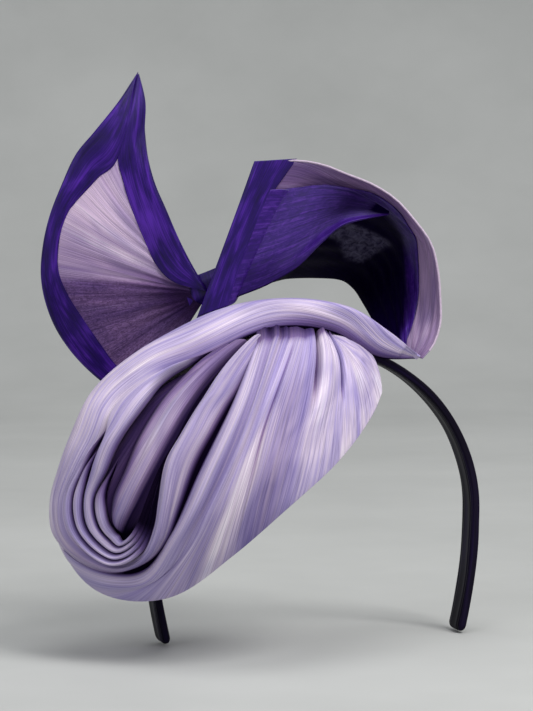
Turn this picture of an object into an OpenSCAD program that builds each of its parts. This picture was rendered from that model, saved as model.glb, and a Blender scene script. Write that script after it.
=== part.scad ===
// Fascinator headpiece: a teardrop base draped in silk, with a bound leaf and a ribbon
// loop on top, sewn to a satin-covered spring headband.
// Millimetres, +Z up, the wearer faces -Y and +X is the wearer's left. The origin is the
// middle of the headband's round arc.

/* [Headband] */
// Outer radius of the round part of the band
band_r = 75.5; // [66:0.5:84]
// Front-to-back width of the satin sleeve
band_w = 15; // [10:0.5:20]
// Thickness of the satin sleeve over its core
band_t = 4; // [3:0.1:6]
// Front-to-back width of the springy core
core_w = 11.5; // [8:0.5:16]
// Thickness of the springy core
core_t = 2.2; // [1.4:0.1:3]
// How far the arms reach below the middle of the arc
arm_drop = 54; // [30:1:70]
// Bend radius of the arms below the middle of the arc
arm_r = 220; // [120:5:400]
// Angle from the crown to the place where each arm flexes
flex_at = 20; // [12:1:30]

/* [Base] */
// Thickness of the stiff foundation
shell_t = 1.2; // [0.8:0.1:2]
// Width of the ribbon inside the rim
ribbon_w = 12; // [8:1:18]
// Width of the binding that is folded over the rim
rim_w = 6; // [4:0.5:10]

/* [Drape] */
// Thickness of the draped silk
silk_t = 0.9; // [0.5:0.1:1.5]
// How far the swirl's pleats stand up
pleat_h = 2.6; // [1.5:0.1:5]
// How far the front panel is puffed up beside the swirl
puff_h = 4.5; // [1:0.5:8]

/* [Trims] */
// Width of the bias binding on the leaf and the loop
bind_w = 9; // [5:0.5:12]
// Thickness of one layer of stiffened silk
layer_t = 0.4; // [0.3:0.05:0.8]
// Radius of the hidden edge wires
wire_r = 0.45; // [0.3:0.05:0.8]

/* [Hidden] */
$fn = 48;
turn = -15;           // the base and trims face this far round to the wearer's right
aside = 1.5;          // and stand this far to the wearer's left of the band's middle
gap = 0.25;           // clearance left between layers that are sewn together
mid_r = band_r - band_t / 2;
arm_sweep = asin(arm_drop / arm_r);
knuckle_r = 0.8;      // rounded end of each arm core, on the flex axis
knuckle_gap = 0.05;   // running clearance round that end

// ---------- curves, surfaces and sheets ----------
function mix(a, b, t) = a + (b - a) * t;
function unit(v) = v / norm(v);
function hermite(a, b, c, d, t) =
    0.5 * (2 * b + (c - a) * t + (2 * a - 5 * b + 4 * c - d) * t * t
    + (3 * b - a - 3 * c + d) * t * t * t);
// Smooth curve through the points of p; s counts points from 0
function curve(p, s) =
    let (n = len(p) - 1, q = min(max(s, 0), n - 0.0001), i = floor(q))
    hermite(p[max(i - 1, 0)], p[i], p[i + 1], p[min(i + 2, n)], q - i);
// The same for a closed curve
function ring(p, s) =
    let (n = len(p), i = floor(s), k = ((i % n) + n) % n)
    hermite(p[(k + n - 1) % n], p[k], p[(k + 1) % n], p[(k + 2) % n], s - i);
// 0 before a, 1 after b and a smooth climb between
function smooth(a, b, x) = let (t = min(max((x - a) / (b - a), 0), 1)) t * t * (3 - 2 * t);
// Smooth hump of height 1 in the middle
function hump(x, middle, wide) = exp(-pow((x - middle) / wide, 2));

// Put the base or a trim in its place on the band
module place() translate([aside, 0, 0]) rotate([0, 0, turn]) children();

// Closed solid between two grids of points with the same number of rows and columns
module between(front, back, closed = false) {
    rows = len(front);
    cols = len(front[0]);
    size = rows * cols;
    last = closed ? rows - 1 : rows - 2;
    mid = floor(rows / 2);
    mc = floor(cols / 2);
    facing = cross(front[mid][mc] - front[mid - 1][mc], front[mid][mc] - front[mid][mc - 1])
        * (front[mid][mc] - back[mid][mc]);
    function at(side, i, j) = side * size + (i % rows) * cols + j;
    function quad(a, b, c, d) = facing > 0 ? [[a, c, b], [a, d, c]] : [[a, b, c], [a, c, d]];
    faces = [
        for (i = [0 : last], j = [0 : cols - 2])
            each quad(at(0, i, j), at(0, i + 1, j), at(0, i + 1, j + 1), at(0, i, j + 1)),
        for (i = [0 : last], j = [0 : cols - 2])
            each quad(at(1, i, j), at(1, i, j + 1), at(1, i + 1, j + 1), at(1, i + 1, j)),
        for (i = [0 : last])
            each quad(at(0, i, 0), at(1, i, 0), at(1, i + 1, 0), at(0, i + 1, 0)),
        for (i = [0 : last])
            each quad(at(0, i, cols - 1), at(0, i + 1, cols - 1),
                at(1, i + 1, cols - 1), at(1, i, cols - 1)),
        if (!closed) for (j = [0 : cols - 2])
            each quad(at(0, 0, j), at(0, 0, j + 1), at(1, 0, j + 1), at(1, 0, j)),
        if (!closed) for (j = [0 : cols - 2])
            each quad(at(0, rows - 1, j), at(1, rows - 1, j),
                at(1, rows - 1, j + 1), at(0, rows - 1, j + 1))
    ];
    polyhedron([for (r = front) each r, for (r = back) each r], faces, convexity = 6);
}

// Round wire through a list of points
module wire(path, r, closed = false, sides = 6) {
    n = len(path);
    function step(i) = unit(path[closed ? (i + 1) % n : min(i + 1, n - 1)]
        - path[closed ? (i + n - 1) % n : max(i - 1, 0)]);
    loops = [for (i = [0 : n - 1])
        let (t = step(i), a = unit(cross(t, [0.31, 0.87, 0.38])), b = cross(t, a))
        [for (k = [0 : sides - 1]) path[i] + r * (a * cos(360 * k / sides) + b * sin(360 * k / sides))]];
    faces = [
        for (i = [0 : (closed ? n - 1 : n - 2)], k = [0 : sides - 1])
            let (j = (i + 1) % n, m = (k + 1) % sides)
            each [[i * sides + k, j * sides + k, j * sides + m],
                [i * sides + k, j * sides + m, i * sides + m]],
        if (!closed) [for (k = [0 : sides - 1]) k],
        if (!closed) [for (k = [sides - 1 : -1 : 0]) (n - 1) * sides + k]
    ];
    polyhedron([for (l = loops) each l], faces, convexity = 4);
}

// ---------- headband ----------
// Rectangle section swept round the arc from angle a to angle b, in the XZ plane
module arc_bar(a, b, w, t) {
    rotate([90, 0, 0]) rotate([0, 0, a]) rotate_extrude(angle = b - a, $fn = 180)
        translate([mid_r - t / 2, -w / 2]) square([t, w]);
}

// The gently bent lower arm on the wearer's left. It is a little slimmer than the round arc
// and starts inside it.
module arm_bar(sweep, w, t) {
    slimmer = 0.4;
    lap = 1;
    translate([mid_r - arm_r, 0, 0]) rotate([90, 0, 0]) rotate([0, 0, -sweep])
        rotate_extrude(angle = sweep + lap, $fn = 720)
            translate([arm_r - (t - slimmer) / 2, (slimmer - w) / 2]) square([t - slimmer, w - slimmer]);
}

// Place children on the flex axis of the wearer's left arm, X along the band's outward radius
module at_flex() {
    rotate([0, -(90 - flex_at), 0]) translate([mid_r, 0, 0]) children();
}

module crown_core() {
    color("dimgray") difference() {
        arc_bar(90 - flex_at, 90 + flex_at, core_w, core_t);
        for (side = [0, 1]) mirror([side, 0, 0]) at_flex()
            rotate([90, 0, 0]) cylinder(r = knuckle_r + knuckle_gap, h = core_w + 2, center = true);
    }
}

module arm_core() {
    neck = 1.5;
    union() {
        arc_bar(0, 90 - flex_at - neck, core_w, core_t);
        arm_bar(arm_sweep - 1.1, core_w, core_t);
        arc_bar(90 - flex_at - neck - 1, 90 - flex_at - 0.2, core_w - 0.6, knuckle_r);
        at_flex() rotate([90, 0, 0]) cylinder(r = knuckle_r, h = core_w, center = true);
    }
}

module left_arm_core() { color("dimgray") arm_core(); }
module right_arm_core() { color("dimgray") mirror([1, 0, 0]) arm_core(); }

// Hollow satin tube round the core, over the round arc
module arc_sleeve(a, b) {
    difference() {
        arc_bar(a, b, band_w, band_t);
        arc_bar(a - 1, b + 1, core_w + 2 * gap, core_t + 2 * gap);
    }
}

module crown_sleeve() { color("indigo") arc_sleeve(90.6 - flex_at, 89.4 + flex_at); }

module arm_sleeve() {
    difference() {
        union() {
            arc_bar(0, 89.4 - flex_at, band_w, band_t);
            arm_bar(arm_sweep - 0.8, band_w, band_t);
        }
        arc_bar(0, 91 - flex_at, core_w + 2 * gap, core_t + 2 * gap);
        arm_bar(arm_sweep + 1, core_w + 2 * gap, core_t + 2 * gap);
    }
}

module left_sleeve() { color("indigo") arm_sleeve(); }
module right_sleeve() { color("indigo") mirror([1, 0, 0]) arm_sleeve(); }

// Folded end of the satin, closing the sleeve at the arm's tip
module tip_cap() {
    translate([mid_r - arm_r, 0, 0]) rotate([90, 0, 0]) rotate([0, 0, -arm_sweep])
        rotate_extrude(angle = 0.75, $fn = 720)
            translate([arm_r - band_t / 2, -band_w / 2]) square([band_t, band_w]);
}

module left_tip_cap() { color("rebeccapurple") tip_cap(); }
module right_tip_cap() { color("rebeccapurple") mirror([1, 0, 0]) tip_cap(); }

// ---------- the blocked form that the base follows ----------
// An egg with its long axis tilted up towards the crown; h is the height off its surface
block_at = [-38, -14, 21];
block_r = [81, 80, 60];
block_tilt = 28;
function to_axes(v) = [v.x * cos(block_tilt) + v.z * sin(block_tilt), v.y,
    v.z * cos(block_tilt) - v.x * sin(block_tilt)];
function from_axes(v) = [v.x * cos(block_tilt) - v.z * sin(block_tilt), v.y,
    v.x * sin(block_tilt) + v.z * cos(block_tilt)];
function on_block(p, h) =
    let (q = to_axes(p - block_at), k = unit([q.x / block_r.x, q.y / block_r.y, q.z / block_r.z]))
    block_at + from_axes([k.x * (block_r.x + h), k.y * (block_r.y + h), k.z * (block_r.z + h)]);

// Rim of the teardrop base, from the pointed end beside the crown, down the face side,
// round the blunt end over the temple and back over the top of the head
rim = [[26, -40, 63], [27, -53, 55], [12, -78, 35], [-14, -90, 12], [-43, -84, -12], [-75, -60, -29],
    [-100, -45, -19], [-109, -42, 5], [-105, -40, 28], [-90, -36, 52], [-68, -26, 71],
    [-42, -13, 83], [-16, -2, 84], [0, 0, 80], [9, -6, 77], [19, -20, 71]];
rim_n = len(rim);
rim_steps = 48;
left_end = 7;
right_end = -0.5;
base_mid = [-42, -90, 30];
// Point d inside the rim at rim position s, h off the form
function inside_rim(s, d, h) =
    let (p = ring(rim, s)) on_block(p + unit(base_mid - p) * d, h);

// Sheet that fills the rim, d inside it and between heights h0 and h1
module rim_sheet(d, h0, h1) {
    rows = 20;
    cols = 12;
    function grid(h) = [for (i = [0 : rows])
        let (u = i / rows, a = ring(rim, mix(left_end - 0.3, right_end + 0.2, u)),
            b = ring(rim, mix(left_end + 0.3, right_end + rim_n - 0.2, u)),
            p = a + unit(base_mid - a) * d, q = b + unit(base_mid - b) * d)
        [for (j = [0 : cols]) on_block(mix(p, q, j / cols), h)]];
    between(grid(h1), grid(h0));
}

module foundation() { color("gainsboro") place() rim_sheet(3.2, -shell_t, 0); }
module lining() { color("lavender") place() rim_sheet(3.6, -shell_t - 0.8, -shell_t - 0.3); }

// Band that runs all round inside the rim, a to b inside it and h0 to h1 off the form
module rim_band(a, b, h0, h1) {
    rows = [for (i = [0 : rim_steps - 1]) i * rim_n / rim_steps];
    between([for (s = rows) [for (d = [a, b]) inside_rim(s, d, h1)]],
        [for (s = rows) [for (d = [a, b]) inside_rim(s, d, h0)]], true);
}

module headsize_ribbon() {
    color("plum") place() rim_band(3, 3 + ribbon_w, -shell_t - 2.1, -shell_t - 1.5);
}

module foundation_wire() {
    color("silver") place()
        wire([for (i = [0 : rim_steps - 1]) inside_rim(i * rim_n / rim_steps, 1.5, -1)], 0.55, true);
}

// Silk strip folded over the rim, gripping the foundation, the lining and the ribbon
module rim_binding() {
    low = -shell_t - 2.5;
    outer = [[rim_w, 1], [2, 1.1], [-0.6, 0.6], [-0.9, low / 2], [-0.6, low - 0.4], [rim_w, low - 0.5]];
    inner = [[rim_w, 0.5], [2, 0.6], [0, 0.3], [-0.3, low / 2], [0, low], [rim_w, low]];
    function strip(profile) = [for (i = [0 : rim_steps - 1])
        [for (q = profile) inside_rim(i * rim_n / rim_steps, q[0], q[1])]];
    color("thistle") place() between(strip(outer), strip(inner), true);
}

// ---------- draped silk ----------
// One big fold runs down the face side of the swirl's eye, turns round its bottom and climbs
// the outer side, where it becomes the padded roll that ends in a free flange beside the loop.
// Narrower pleats nest between it and the eye. These are matching points of four lines: the
// eye, the crease inside the big fold, its outer edge, and the edge tucked behind it.
eye = [[-28, -56, 78], [-43, -72, 66], [-52, -81, 54], [-59, -87, 41], [-66, -89, 29], [-71, -88, 16],
    [-74, -86, 8], [-77, -84, 2], [-80, -81, -1], [-81, -81, 1], [-79, -83, 6], [-74, -87, 16],
    [-67, -88, 29], [-60, -86, 42], [-53, -81, 53], [-44, -73, 65], [-29, -57, 78]];
fold_in = [[-28, -58, 80], [-42, -76, 66], [-50, -84, 54], [-57, -89, 43], [-63, -91, 32], [-66, -93, 17],
    [-68, -91, 5], [-73, -85, -6], [-84, -77, -11], [-95, -70, -6], [-102, -64, 3], [-103, -63, 14],
    [-97, -67, 26], [-88, -69, 40], [-80, -65, 53], [-64, -65, 64], [-44, -64, 74], [-18, -49, 84],
    [6, -40, 82], [25, -31, 71], [42, -29, 70]];
fold_out = [[-20, -54, 81], [-29, -77, 66], [-36, -85, 55], [-42, -91, 45], [-49, -94, 32], [-56, -95, 14],
    [-62, -90, -1], [-71, -82, -11], [-86, -70, -17], [-100, -58, -14], [-110, -46, -5], [-112, -46, 8],
    [-108, -46, 26], [-100, -45, 43], [-87, -43, 58], [-67, -38, 75], [-42, -33, 91], [-13, -34, 96],
    [13, -36, 93], [31, -33, 82], [44, -30, 71]];
fold_back = [[-18, -54, 80], [-26, -77, 65], [-33, -86, 54], [-39, -91, 43], [-46, -94, 30], [-53, -95, 12],
    [-60, -89, -4], [-70, -80, -15], [-87, -66, -22], [-102, -50, -19], [-111, -37, -6], [-114, -36, 9],
    [-109, -34, 27], [-100, -31, 45], [-88, -27, 59], [-70, -19, 75], [-43, -7, 89], [-16, 5, 89],
    [10, -7, 82], [27, -20, 74], [43, -29, 70]];
fold_h = [4, 5, 6, 6, 6, 5, 4, 3, 3, 4, 5, 5, 6, 8, 9, 9, 8, 6, 2, 1, 0.4];
fold_end = 19.4;      // matching point where the flange's tip is sewn off

// Where the second pleat and the roll meet without a crease
function flush(s) = smooth(12.6, 13.6, s) * (1 - smooth(14.8, 15.8, s));

// Point of the big fold: t runs from its inner crease (0) over its crest to its tucked edge (3),
// and depth goes into the hollow of the fold
function fold_point(s, t, depth) =
    let (on_form = smooth(8, 10.5, s), inner = curve(fold_in, s), outer = curve(fold_out, s),
        hidden = curve(fold_back, s), lift = 3 + 1.2 * smooth(8, 10, s) + 3 * flush(s),
        m = mix(on_block(inner, lift), inner, smooth(16.6, 18.2, s)),
        o = mix(on_block(outer, 3), outer, on_form), b = mix(on_block(hidden, 1.4), hidden, on_form),
        n = unit(cross(curve(fold_out, s + 0.1) - curve(fold_out, s - 0.1), o - m)),
        up = n * (mix(m, o, 0.5) - block_at) > 0 ? n : -n,
        crest = mix(m, o, mix(0.33, 0.5, on_form)) + up * curve(fold_h, s),
        p = curve([m, crest, o, b], t))
    depth == 0 ? p : p + unit(mix(m, b, 0.5) - p) * depth;

module top_roll() {
    rows = 54;
    cols = 11;
    function grid(depth) = [for (i = [0 : rows]) let (s = fold_end * i / rows)
        [for (j = [0 : cols]) fold_point(s, 3 * j / cols, depth)]];
    color("lavender") place() between(grid(0), grid(0.5));
}

// Lines between the nested pleats, as fractions from the eye to the big fold, at points 0 to 15
pleat_lines = [
    [0, 0, 0, 0, 0, 0, 0, 0, 0, 0.04, 0.26, 0.44, 0.56, 0.66, 0.60, 0.78],
    [0.9, 0.9, 0.9, 0.8, 0.5, 0.3, 0.25, 0.25, 0.25, 0.30, 0.46, 0.59, 0.61, 0.67, 0.61, 0.79],
    [0.95, 0.95, 0.95, 0.9, 0.75, 0.55, 0.5, 0.5, 0.52, 0.56, 0.66, 0.74, 0.86, 0.95, 0.98, 0.99],
    [0.98, 0.98, 0.98, 0.95, 0.88, 0.78, 0.75, 0.76, 0.77, 0.79, 0.83, 0.88, 0.94, 0.98, 0.99, 0.995],
    [1, 1, 1, 1, 1, 1, 1, 1, 1, 1, 1, 1, 1, 1, 1, 1]];
inner_line = [0, 0, 0, 0, 0, 0, 0, 0, 0, 0.02, 0.20, 0.33, 0.38, 0.48, 0.48, 0.60, 0.92];
pleat_start = 4.8;    // matching point where the nested pleats come out of the dark of the eye
pleat_step = 0.24;    // spacing of their sections along the matching points

// Height of nested pleat n over the form at matching point s, and how far it stands up
function nest_low(n, s) = mix(0.6, 0.6 + 1.15 * n, smooth(3.6, 6, s));
function nest_tall(s) = pleat_h * smooth(3, 6, s);

// Pleat between two lines, with given sections along them
module pleat(line_a, line_b, stations, n, tall) {
    cols = 6;
    function grid(lift) = [for (s = stations) [for (j = [0 : cols])
        let (u = mix(0.07, 0.9, j / cols), t = mix(curve(line_a, s), curve(line_b, s), u))
        on_block(mix(curve(eye, s), curve(fold_in, s), t),
            nest_low(n, s) + tall * nest_tall(s) * pow(sin(180 * pow(u, 0.75)), 0.6) + lift)]];
    place() between(grid(silk_t), grid(0));
}

// Nested pleat n of the swirl, counted from the eye outwards, with a number of sections
module nested_pleat(n, sections, tall = 1) {
    stations = [for (i = [0 : sections]) pleat_start + i * pleat_step];
    pleat(pleat_lines[n - 1], pleat_lines[n], stations, n, tall);
}
module swirl_pleat_1() { color("plum") nested_pleat(1, 32); }
module swirl_pleat_2() { color("thistle") nested_pleat(2, 44, 1.7); }
module swirl_pleat_3() { color("plum") nested_pleat(3, 32); }
module swirl_pleat_4() { color("thistle") nested_pleat(4, 31); }

// Tapered pleat on the outer side of the eye, ending in a point at its bottom
module inner_pleat() {
    first = 9.36;
    eye_side = [for (x = inner_line) 0];
    color("lavender") pleat(eye_side, inner_line, [for (i = [0 : 25]) first + i * pleat_step], 0.8, 1.8);
}

// Fan lines of the front panel, seen from the front as [x, z], from the big fold to the wearer's
// left. Each one starts in the gather under the roll and runs on to the hem.
fan = [[[-26, 78], [-36, 56], [-50, 28], [-62, 2], [-78, -17]],
    [[-21, 80], [-29, 56], [-41, 29], [-54, 3], [-68, -19]],
    [[-15, 81], [-23, 60], [-31, 39], [-40, 19], [-48, 1]],
    [[-8, 81], [-15, 63], [-21, 47], [-26, 29], [-31, 11]],
    [[1, 82], [1, 69], [-1, 56], [-5, 42], [-8, 28]],
    [[6, 82], [11, 72], [12, 62], [12, 52], [12, 42]],
    [[8, 81], [15, 77], [20, 74], [24, 70], [27, 65]]];
hem = [[6, -38, 82], [25, -36, 70], [28, -50, 58], [13, -78, 36], [-14, -91, 12], [-43, -86, -13],
    [-76, -60, -32], [-103, -48, -21], [-112, -46, 5]];
fan_hem = [7.4, 6.6, 5.6, 4.75, 3.95, 3.1, 2.0]; // where each fan line meets the hem

// The point on the face side of the form, seen from the front at x and z
function front_of_block(x, z) =
    let (v = to_axes([x - block_at.x, 0, z - block_at.z]), lift = 5, r = block_r + [lift, lift, lift],
        w = max(1 - pow(v.x / r.x, 2) - pow(v.z / r.z, 2), 0.02))
    [x, block_at.y - r.y * sqrt(w), z];
fan_net = [for (i = [0 : len(fan) - 1])
    [for (q = fan[i]) front_of_block(q[0], q[1]), curve(hem, fan_hem[i])]];
// c counts fan lines, and r runs from the gather (0) to the hem (1)
function fan_point(c, r) = curve([for (line = fan_net) curve(line, 5 * r)], c);

// The puffed panel sinks beside the big fold and at its tuck and two darts
function panel_height(c, r) =
    let (puff = puff_h * (1 - pow(r, 2.2)) * (1 - 0.12 * c), gather = 3 * (1 - smooth(0, 0.15, r)),
        tuck = 1.3 * hump(c, 1.25, 0.28) * (1 - r),
        darts = 2.4 * (hump(c, 3.97, 0.2) + hump(c, 4.95, 0.2)) * (1 - smooth(0.1, 0.5, r)))
    max(1.5, 1.5 + puff - gather - tuck - darts);

module front_panel() {
    rows = 18;
    cols = 20;
    function grid(lift) = [for (i = [0 : rows]) let (c = mix(0.7, 6, i / rows))
        [for (j = [0 : cols]) let (r = mix(0.05, 1, j / cols))
            on_block(fan_point(c, r), panel_height(c, r) + lift)]];
    color("thistle") place() between(grid(silk_t), grid(0));
}

// ---------- leaf ----------
// A fan of stiffened silk gathered at its root. Its outer edge runs from the tip down to the
// hidden lower corner; its side edge is the curved line from the root up to the tip.
leaf_edge = [[-77, -4, 193], [-85, -10, 180], [-95, -14, 167], [-103, -17, 157], [-109, -20, 144],
    [-114, -22, 131], [-117, -22, 118], [-118, -20, 105], [-116, -14, 92], [-111, -6, 79], [-102, 2, 66],
    [-90, 8, 55], [-76, 10, 48]];
leaf_side = [[-47, -8, 97], [-54, -8, 109], [-60, -9, 121], [-65, -10, 133], [-70, -10, 145], [-73, -9, 157],
    [-74, -7, 169], [-74, -6, 181], [-77, -4, 193]];
root_at = leaf_side[0];
leaf_n = len(leaf_edge) - 1;
side_n = len(leaf_side) - 1;
// u runs along the outer edge and v from the root to that edge
function leaf_mid(u, v) =
    let (bow = curve(leaf_side, v * side_n) - mix(root_at, leaf_edge[0], v))
    mix(root_at, curve(leaf_edge, u * leaf_n), v) + bow * pow(1 - u, 2)
    + [0, 9, 0] * sin(180 * v) * sin(180 * u);
function leaf_normal(u, v) =
    unit(cross(leaf_mid(min(u + 0.01, 1), v) - leaf_mid(max(u - 0.01, 0), v),
        leaf_mid(u, v + 0.01) - leaf_mid(u, v - 0.01)));
function leaf(u, v, h) = leaf_mid(u, v) + leaf_normal(u, v) * h;
function leaf_len(u) = norm(curve(leaf_edge, u * leaf_n) - root_at);
leaf_arc = 170;       // length of the leaf's outer edge
// Inner limit of the side binding, as a fraction of the outer edge
function side_u(v) = bind_w * (v > 0.8 ? 1.2 : 1) / (leaf_arc * v);

module leaf_layer(h0, h1) {
    rows = 24;
    cols = 12;
    clear = 2.6;      // the wire lies outside the layers, in the fold of the binding
    function grid(h) = [for (i = [0 : rows]) let (u = mix(0.02, 0.985, i / rows))
        [for (j = [0 : cols]) leaf(u, mix(0.2, 1 - clear / leaf_len(u), j / cols), h)]];
    between(grid(h1), grid(h0));
}
module leaf_panel() { color("lavender") place() leaf_layer(-0.1 - layer_t, -0.1); }
module leaf_backing() { color("indigo") place() leaf_layer(0.1, 0.1 + layer_t); }

// Fold-over binding section: distance in from the edge and height off the middle surface
bind_face = [[1, 1.25], [0.75, 1.3], [0.5, 1.3], [0.25, 1.25], [0.08, 1.2], [-0.06, 0.6]];
bind_hollow = [[1, 0.95], [0.75, 0.95], [0.5, 0.95], [0.25, 0.9], [0.14, 0.85], [0.04, 0.5]];
// The same points again on the far side, in reverse order
function both_sides(half) = concat(half, [for (i = [len(half) - 1 : -1 : 0]) [half[i][0], -half[i][1]]]);
bind_out = both_sides(bind_face);
bind_in = both_sides(bind_hollow);

module leaf_edge_binding() {
    rows = 26;
    function strip(profile) = [for (i = [0 : rows]) let (u = mix(0.002, 1, i / rows))
        [for (q = profile) leaf(u, 1 - q[0] * bind_w / leaf_len(u), q[1])]];
    color("indigo") place() between(strip(bind_out), strip(bind_in));
}

module leaf_side_binding() {
    rows = 20;
    function strip(profile) = [for (i = [0 : rows]) let (v = mix(0.28, 0.895, i / rows))
        [for (q = profile) leaf(side_u(v) * q[0] + 0.004, v, q[1])]];
    color("indigo") place() between(strip(bind_out), strip(bind_in));
}

module leaf_wire() {
    steps = 26;
    inset = 1.3;
    path = [for (i = [1 : steps - 1]) let (u = mix(0.002, 1, i / steps)) leaf(u, 1 - inset / leaf_len(u), 0)];
    color("silver") place() wire(path, wire_r);
}

// ---------- loop ----------
// A wide ribbon that starts at a straight bound end, arches over to the wearer's left and
// comes down to the flange's tip. Its front edge is open towards the face; its back edge is low.
loop_front = [[-26, -12, 154], [-9, -13, 155], [3, -16, 153], [13, -19, 149], [24, -22, 144.5],
    [34, -24, 138], [42, -25, 129], [49, -25, 119], [52, -25, 107], [53, -25, 95], [53, -26, 85],
    [50, -28, 76], [45, -29, 70]];
loop_back = [[-51, -15, 87], [-37, -13, 92], [-33, 2, 97], [-25, 10, 99], [-18, 19, 101], [-12, 26, 102],
    [0, 34, 102], [11, 34, 101], [17, 28, 97], [21, 16, 91], [25, 2, 84], [29, -12, 77], [35, -20, 72]];
loop_n = len(loop_front) - 1;
function loop_mid(u, v) =
    let (a = curve(loop_front, u * loop_n), b = curve(loop_back, u * loop_n))
    mix(a, b, v) + sin(180 * v) * sin(180 * u) * [5, 0, 9];
function loop_normal(u, v) =
    unit(cross(loop_mid(u, v + 0.01) - loop_mid(u, v - 0.01),
        loop_mid(min(u + 0.01, 1), v) - loop_mid(max(u - 0.01, 0), v)));
function loop_at(u, v, h) = loop_mid(u, v) + loop_normal(u, v) * h;
loop_end = 0.955;     // how far along it the ribbon is sewn off behind the flange

module loop_layer(h0, h1, v0) {
    rows = 26;
    cols = 8;
    function grid(h) = [for (i = [0 : rows]) let (u = mix(0.08, loop_end, i / rows))
        [for (j = [0 : cols]) loop_at(u, mix(v0, 0.99, j / cols), h)]];
    between(grid(h1), grid(h0));
}
module loop_outer() { color("lavender") place() loop_layer(-0.15 - layer_t, -0.15, 0.03); }
module loop_lining() { color("indigo") place() loop_layer(0.15, 0.15 + layer_t, 0.14); }

module loop_wire() {
    steps = 26;
    path = [for (i = [0 : steps]) loop_at(mix(0.05, loop_end - 0.01, i / steps), 0.008, -0.2)];
    color("silver") place() wire(path, wire_r);
}

// Violet fold inside the loop: lies behind the front edge and rolls under along a low S curve
fold_top = [[-15, -16, 141], [-8, -19, 143], [2, -21, 144], [13, -23, 141], [22, -24, 136], [29, -24, 131]];
fold_low = [[-32, -13, 97], [-21, -16, 101], [-8, -21, 109], [2, -25, 119], [12, -27, 126], [28, -25, 129.6]];
fold_n = len(fold_top) - 1;
module loop_front_fold() {
    rows = 16;
    cols = 8;
    function fold_at(u, v) =
        mix(curve(fold_top, u * fold_n), curve(fold_low, u * fold_n), v)
        + [0, -4, 0] * sin(180 * v) * (1 - u);
    function grid(h) = [for (i = [0 : rows]) [for (j = [0 : cols])
        fold_at(i / rows, j / cols) + [0, h, 0]]];
    color("indigo") place() between(grid(0), grid(layer_t));
}

// Straight fold-over binding across the loop's starting end, from its top to its bottom
end_widths = [17.5, 14, 13, 12.5, 12, 12.5, 13.5];
module loop_end_binding() {
    rows = 16;
    function strip(profile) = [for (i = [0 : rows])
        let (v = i / rows, reach = 10 * norm(loop_mid(0.1, v) - loop_mid(0, v)),
            w = curve(end_widths, v * (len(end_widths) - 1)))
        [for (q = profile) loop_at(q[0] * w / reach + 0.012, v, q[1])]];
    color("indigo") place() between(strip(bind_out), strip(bind_in));
}

// Satin wrapping that ties the roots of the leaf and the loop together
module trim_knot() {
    color("indigo") place() translate([-48, -3.6, 103]) rotate([0, 60, 0]) rotate_extrude() difference() {
        translate([0, -5]) square([3.4, 10]);
        for (side = [-1, 1]) translate([4.2, side * 5.6]) circle(r = 2);
    }
}

// Small stiff pad on the base, where the roots of both trims are sewn down
module trim_tab() {
    color("gainsboro") place() translate([-46, -8, 90]) rotate([0, -14, 0])
        cylinder(r = 4.5, h = 1, center = true);
}

// Felt pad between the top of the band and the underside of the base
module band_pad() {
    rows = 8;
    cols = 4;
    roof = [for (i = [0 : rows]) [for (j = [0 : cols])
        on_block([mix(-20, 4, i / rows), mix(-4, 5, j / cols), 84], -shell_t - 3.4)]];
    function band_top(p) = sqrt(pow(band_r + 0.15, 2) - pow(p.x * cos(turn) - p.y * sin(turn) + aside, 2));
    floor_grid = [for (r = roof) [for (p = r) [p.x, p.y, band_top(p)]]];
    color("slategray") place() between(roof, floor_grid);
}

// Tacking threads beside the band, front and back, that tie the pad and the base to it
module band_stitches() {
    thread_r = 0.35;
    lift = 0.3;       // their lower ends stay clear of the head
    color("indigo") for (a = [-13 : 4 : -1], side = [-1, 1])
        rotate([0, a, 0]) translate([0, side * (band_w / 2 + thread_r + 0.1), band_r - band_t + lift])
            cylinder(r = thread_r, h = band_t - 0.5, $fn = 16);
}

crown_core();
left_arm_core();
right_arm_core();
crown_sleeve();
left_sleeve();
right_sleeve();
left_tip_cap();
right_tip_cap();
foundation();
foundation_wire();
lining();
headsize_ribbon();
rim_binding();
front_panel();
swirl_pleat_1();
swirl_pleat_2();
swirl_pleat_3();
swirl_pleat_4();
inner_pleat();
top_roll();
leaf_panel();
leaf_backing();
leaf_edge_binding();
leaf_side_binding();
leaf_wire();
loop_outer();
loop_lining();
loop_front_fold();
loop_end_binding();
loop_wire();
trim_knot();
trim_tab();
band_pad();
band_stitches();
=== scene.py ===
"""Fascinator headpiece: draped silk base, bound leaf and ribbon loop on a satin headband."""

import math

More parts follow.
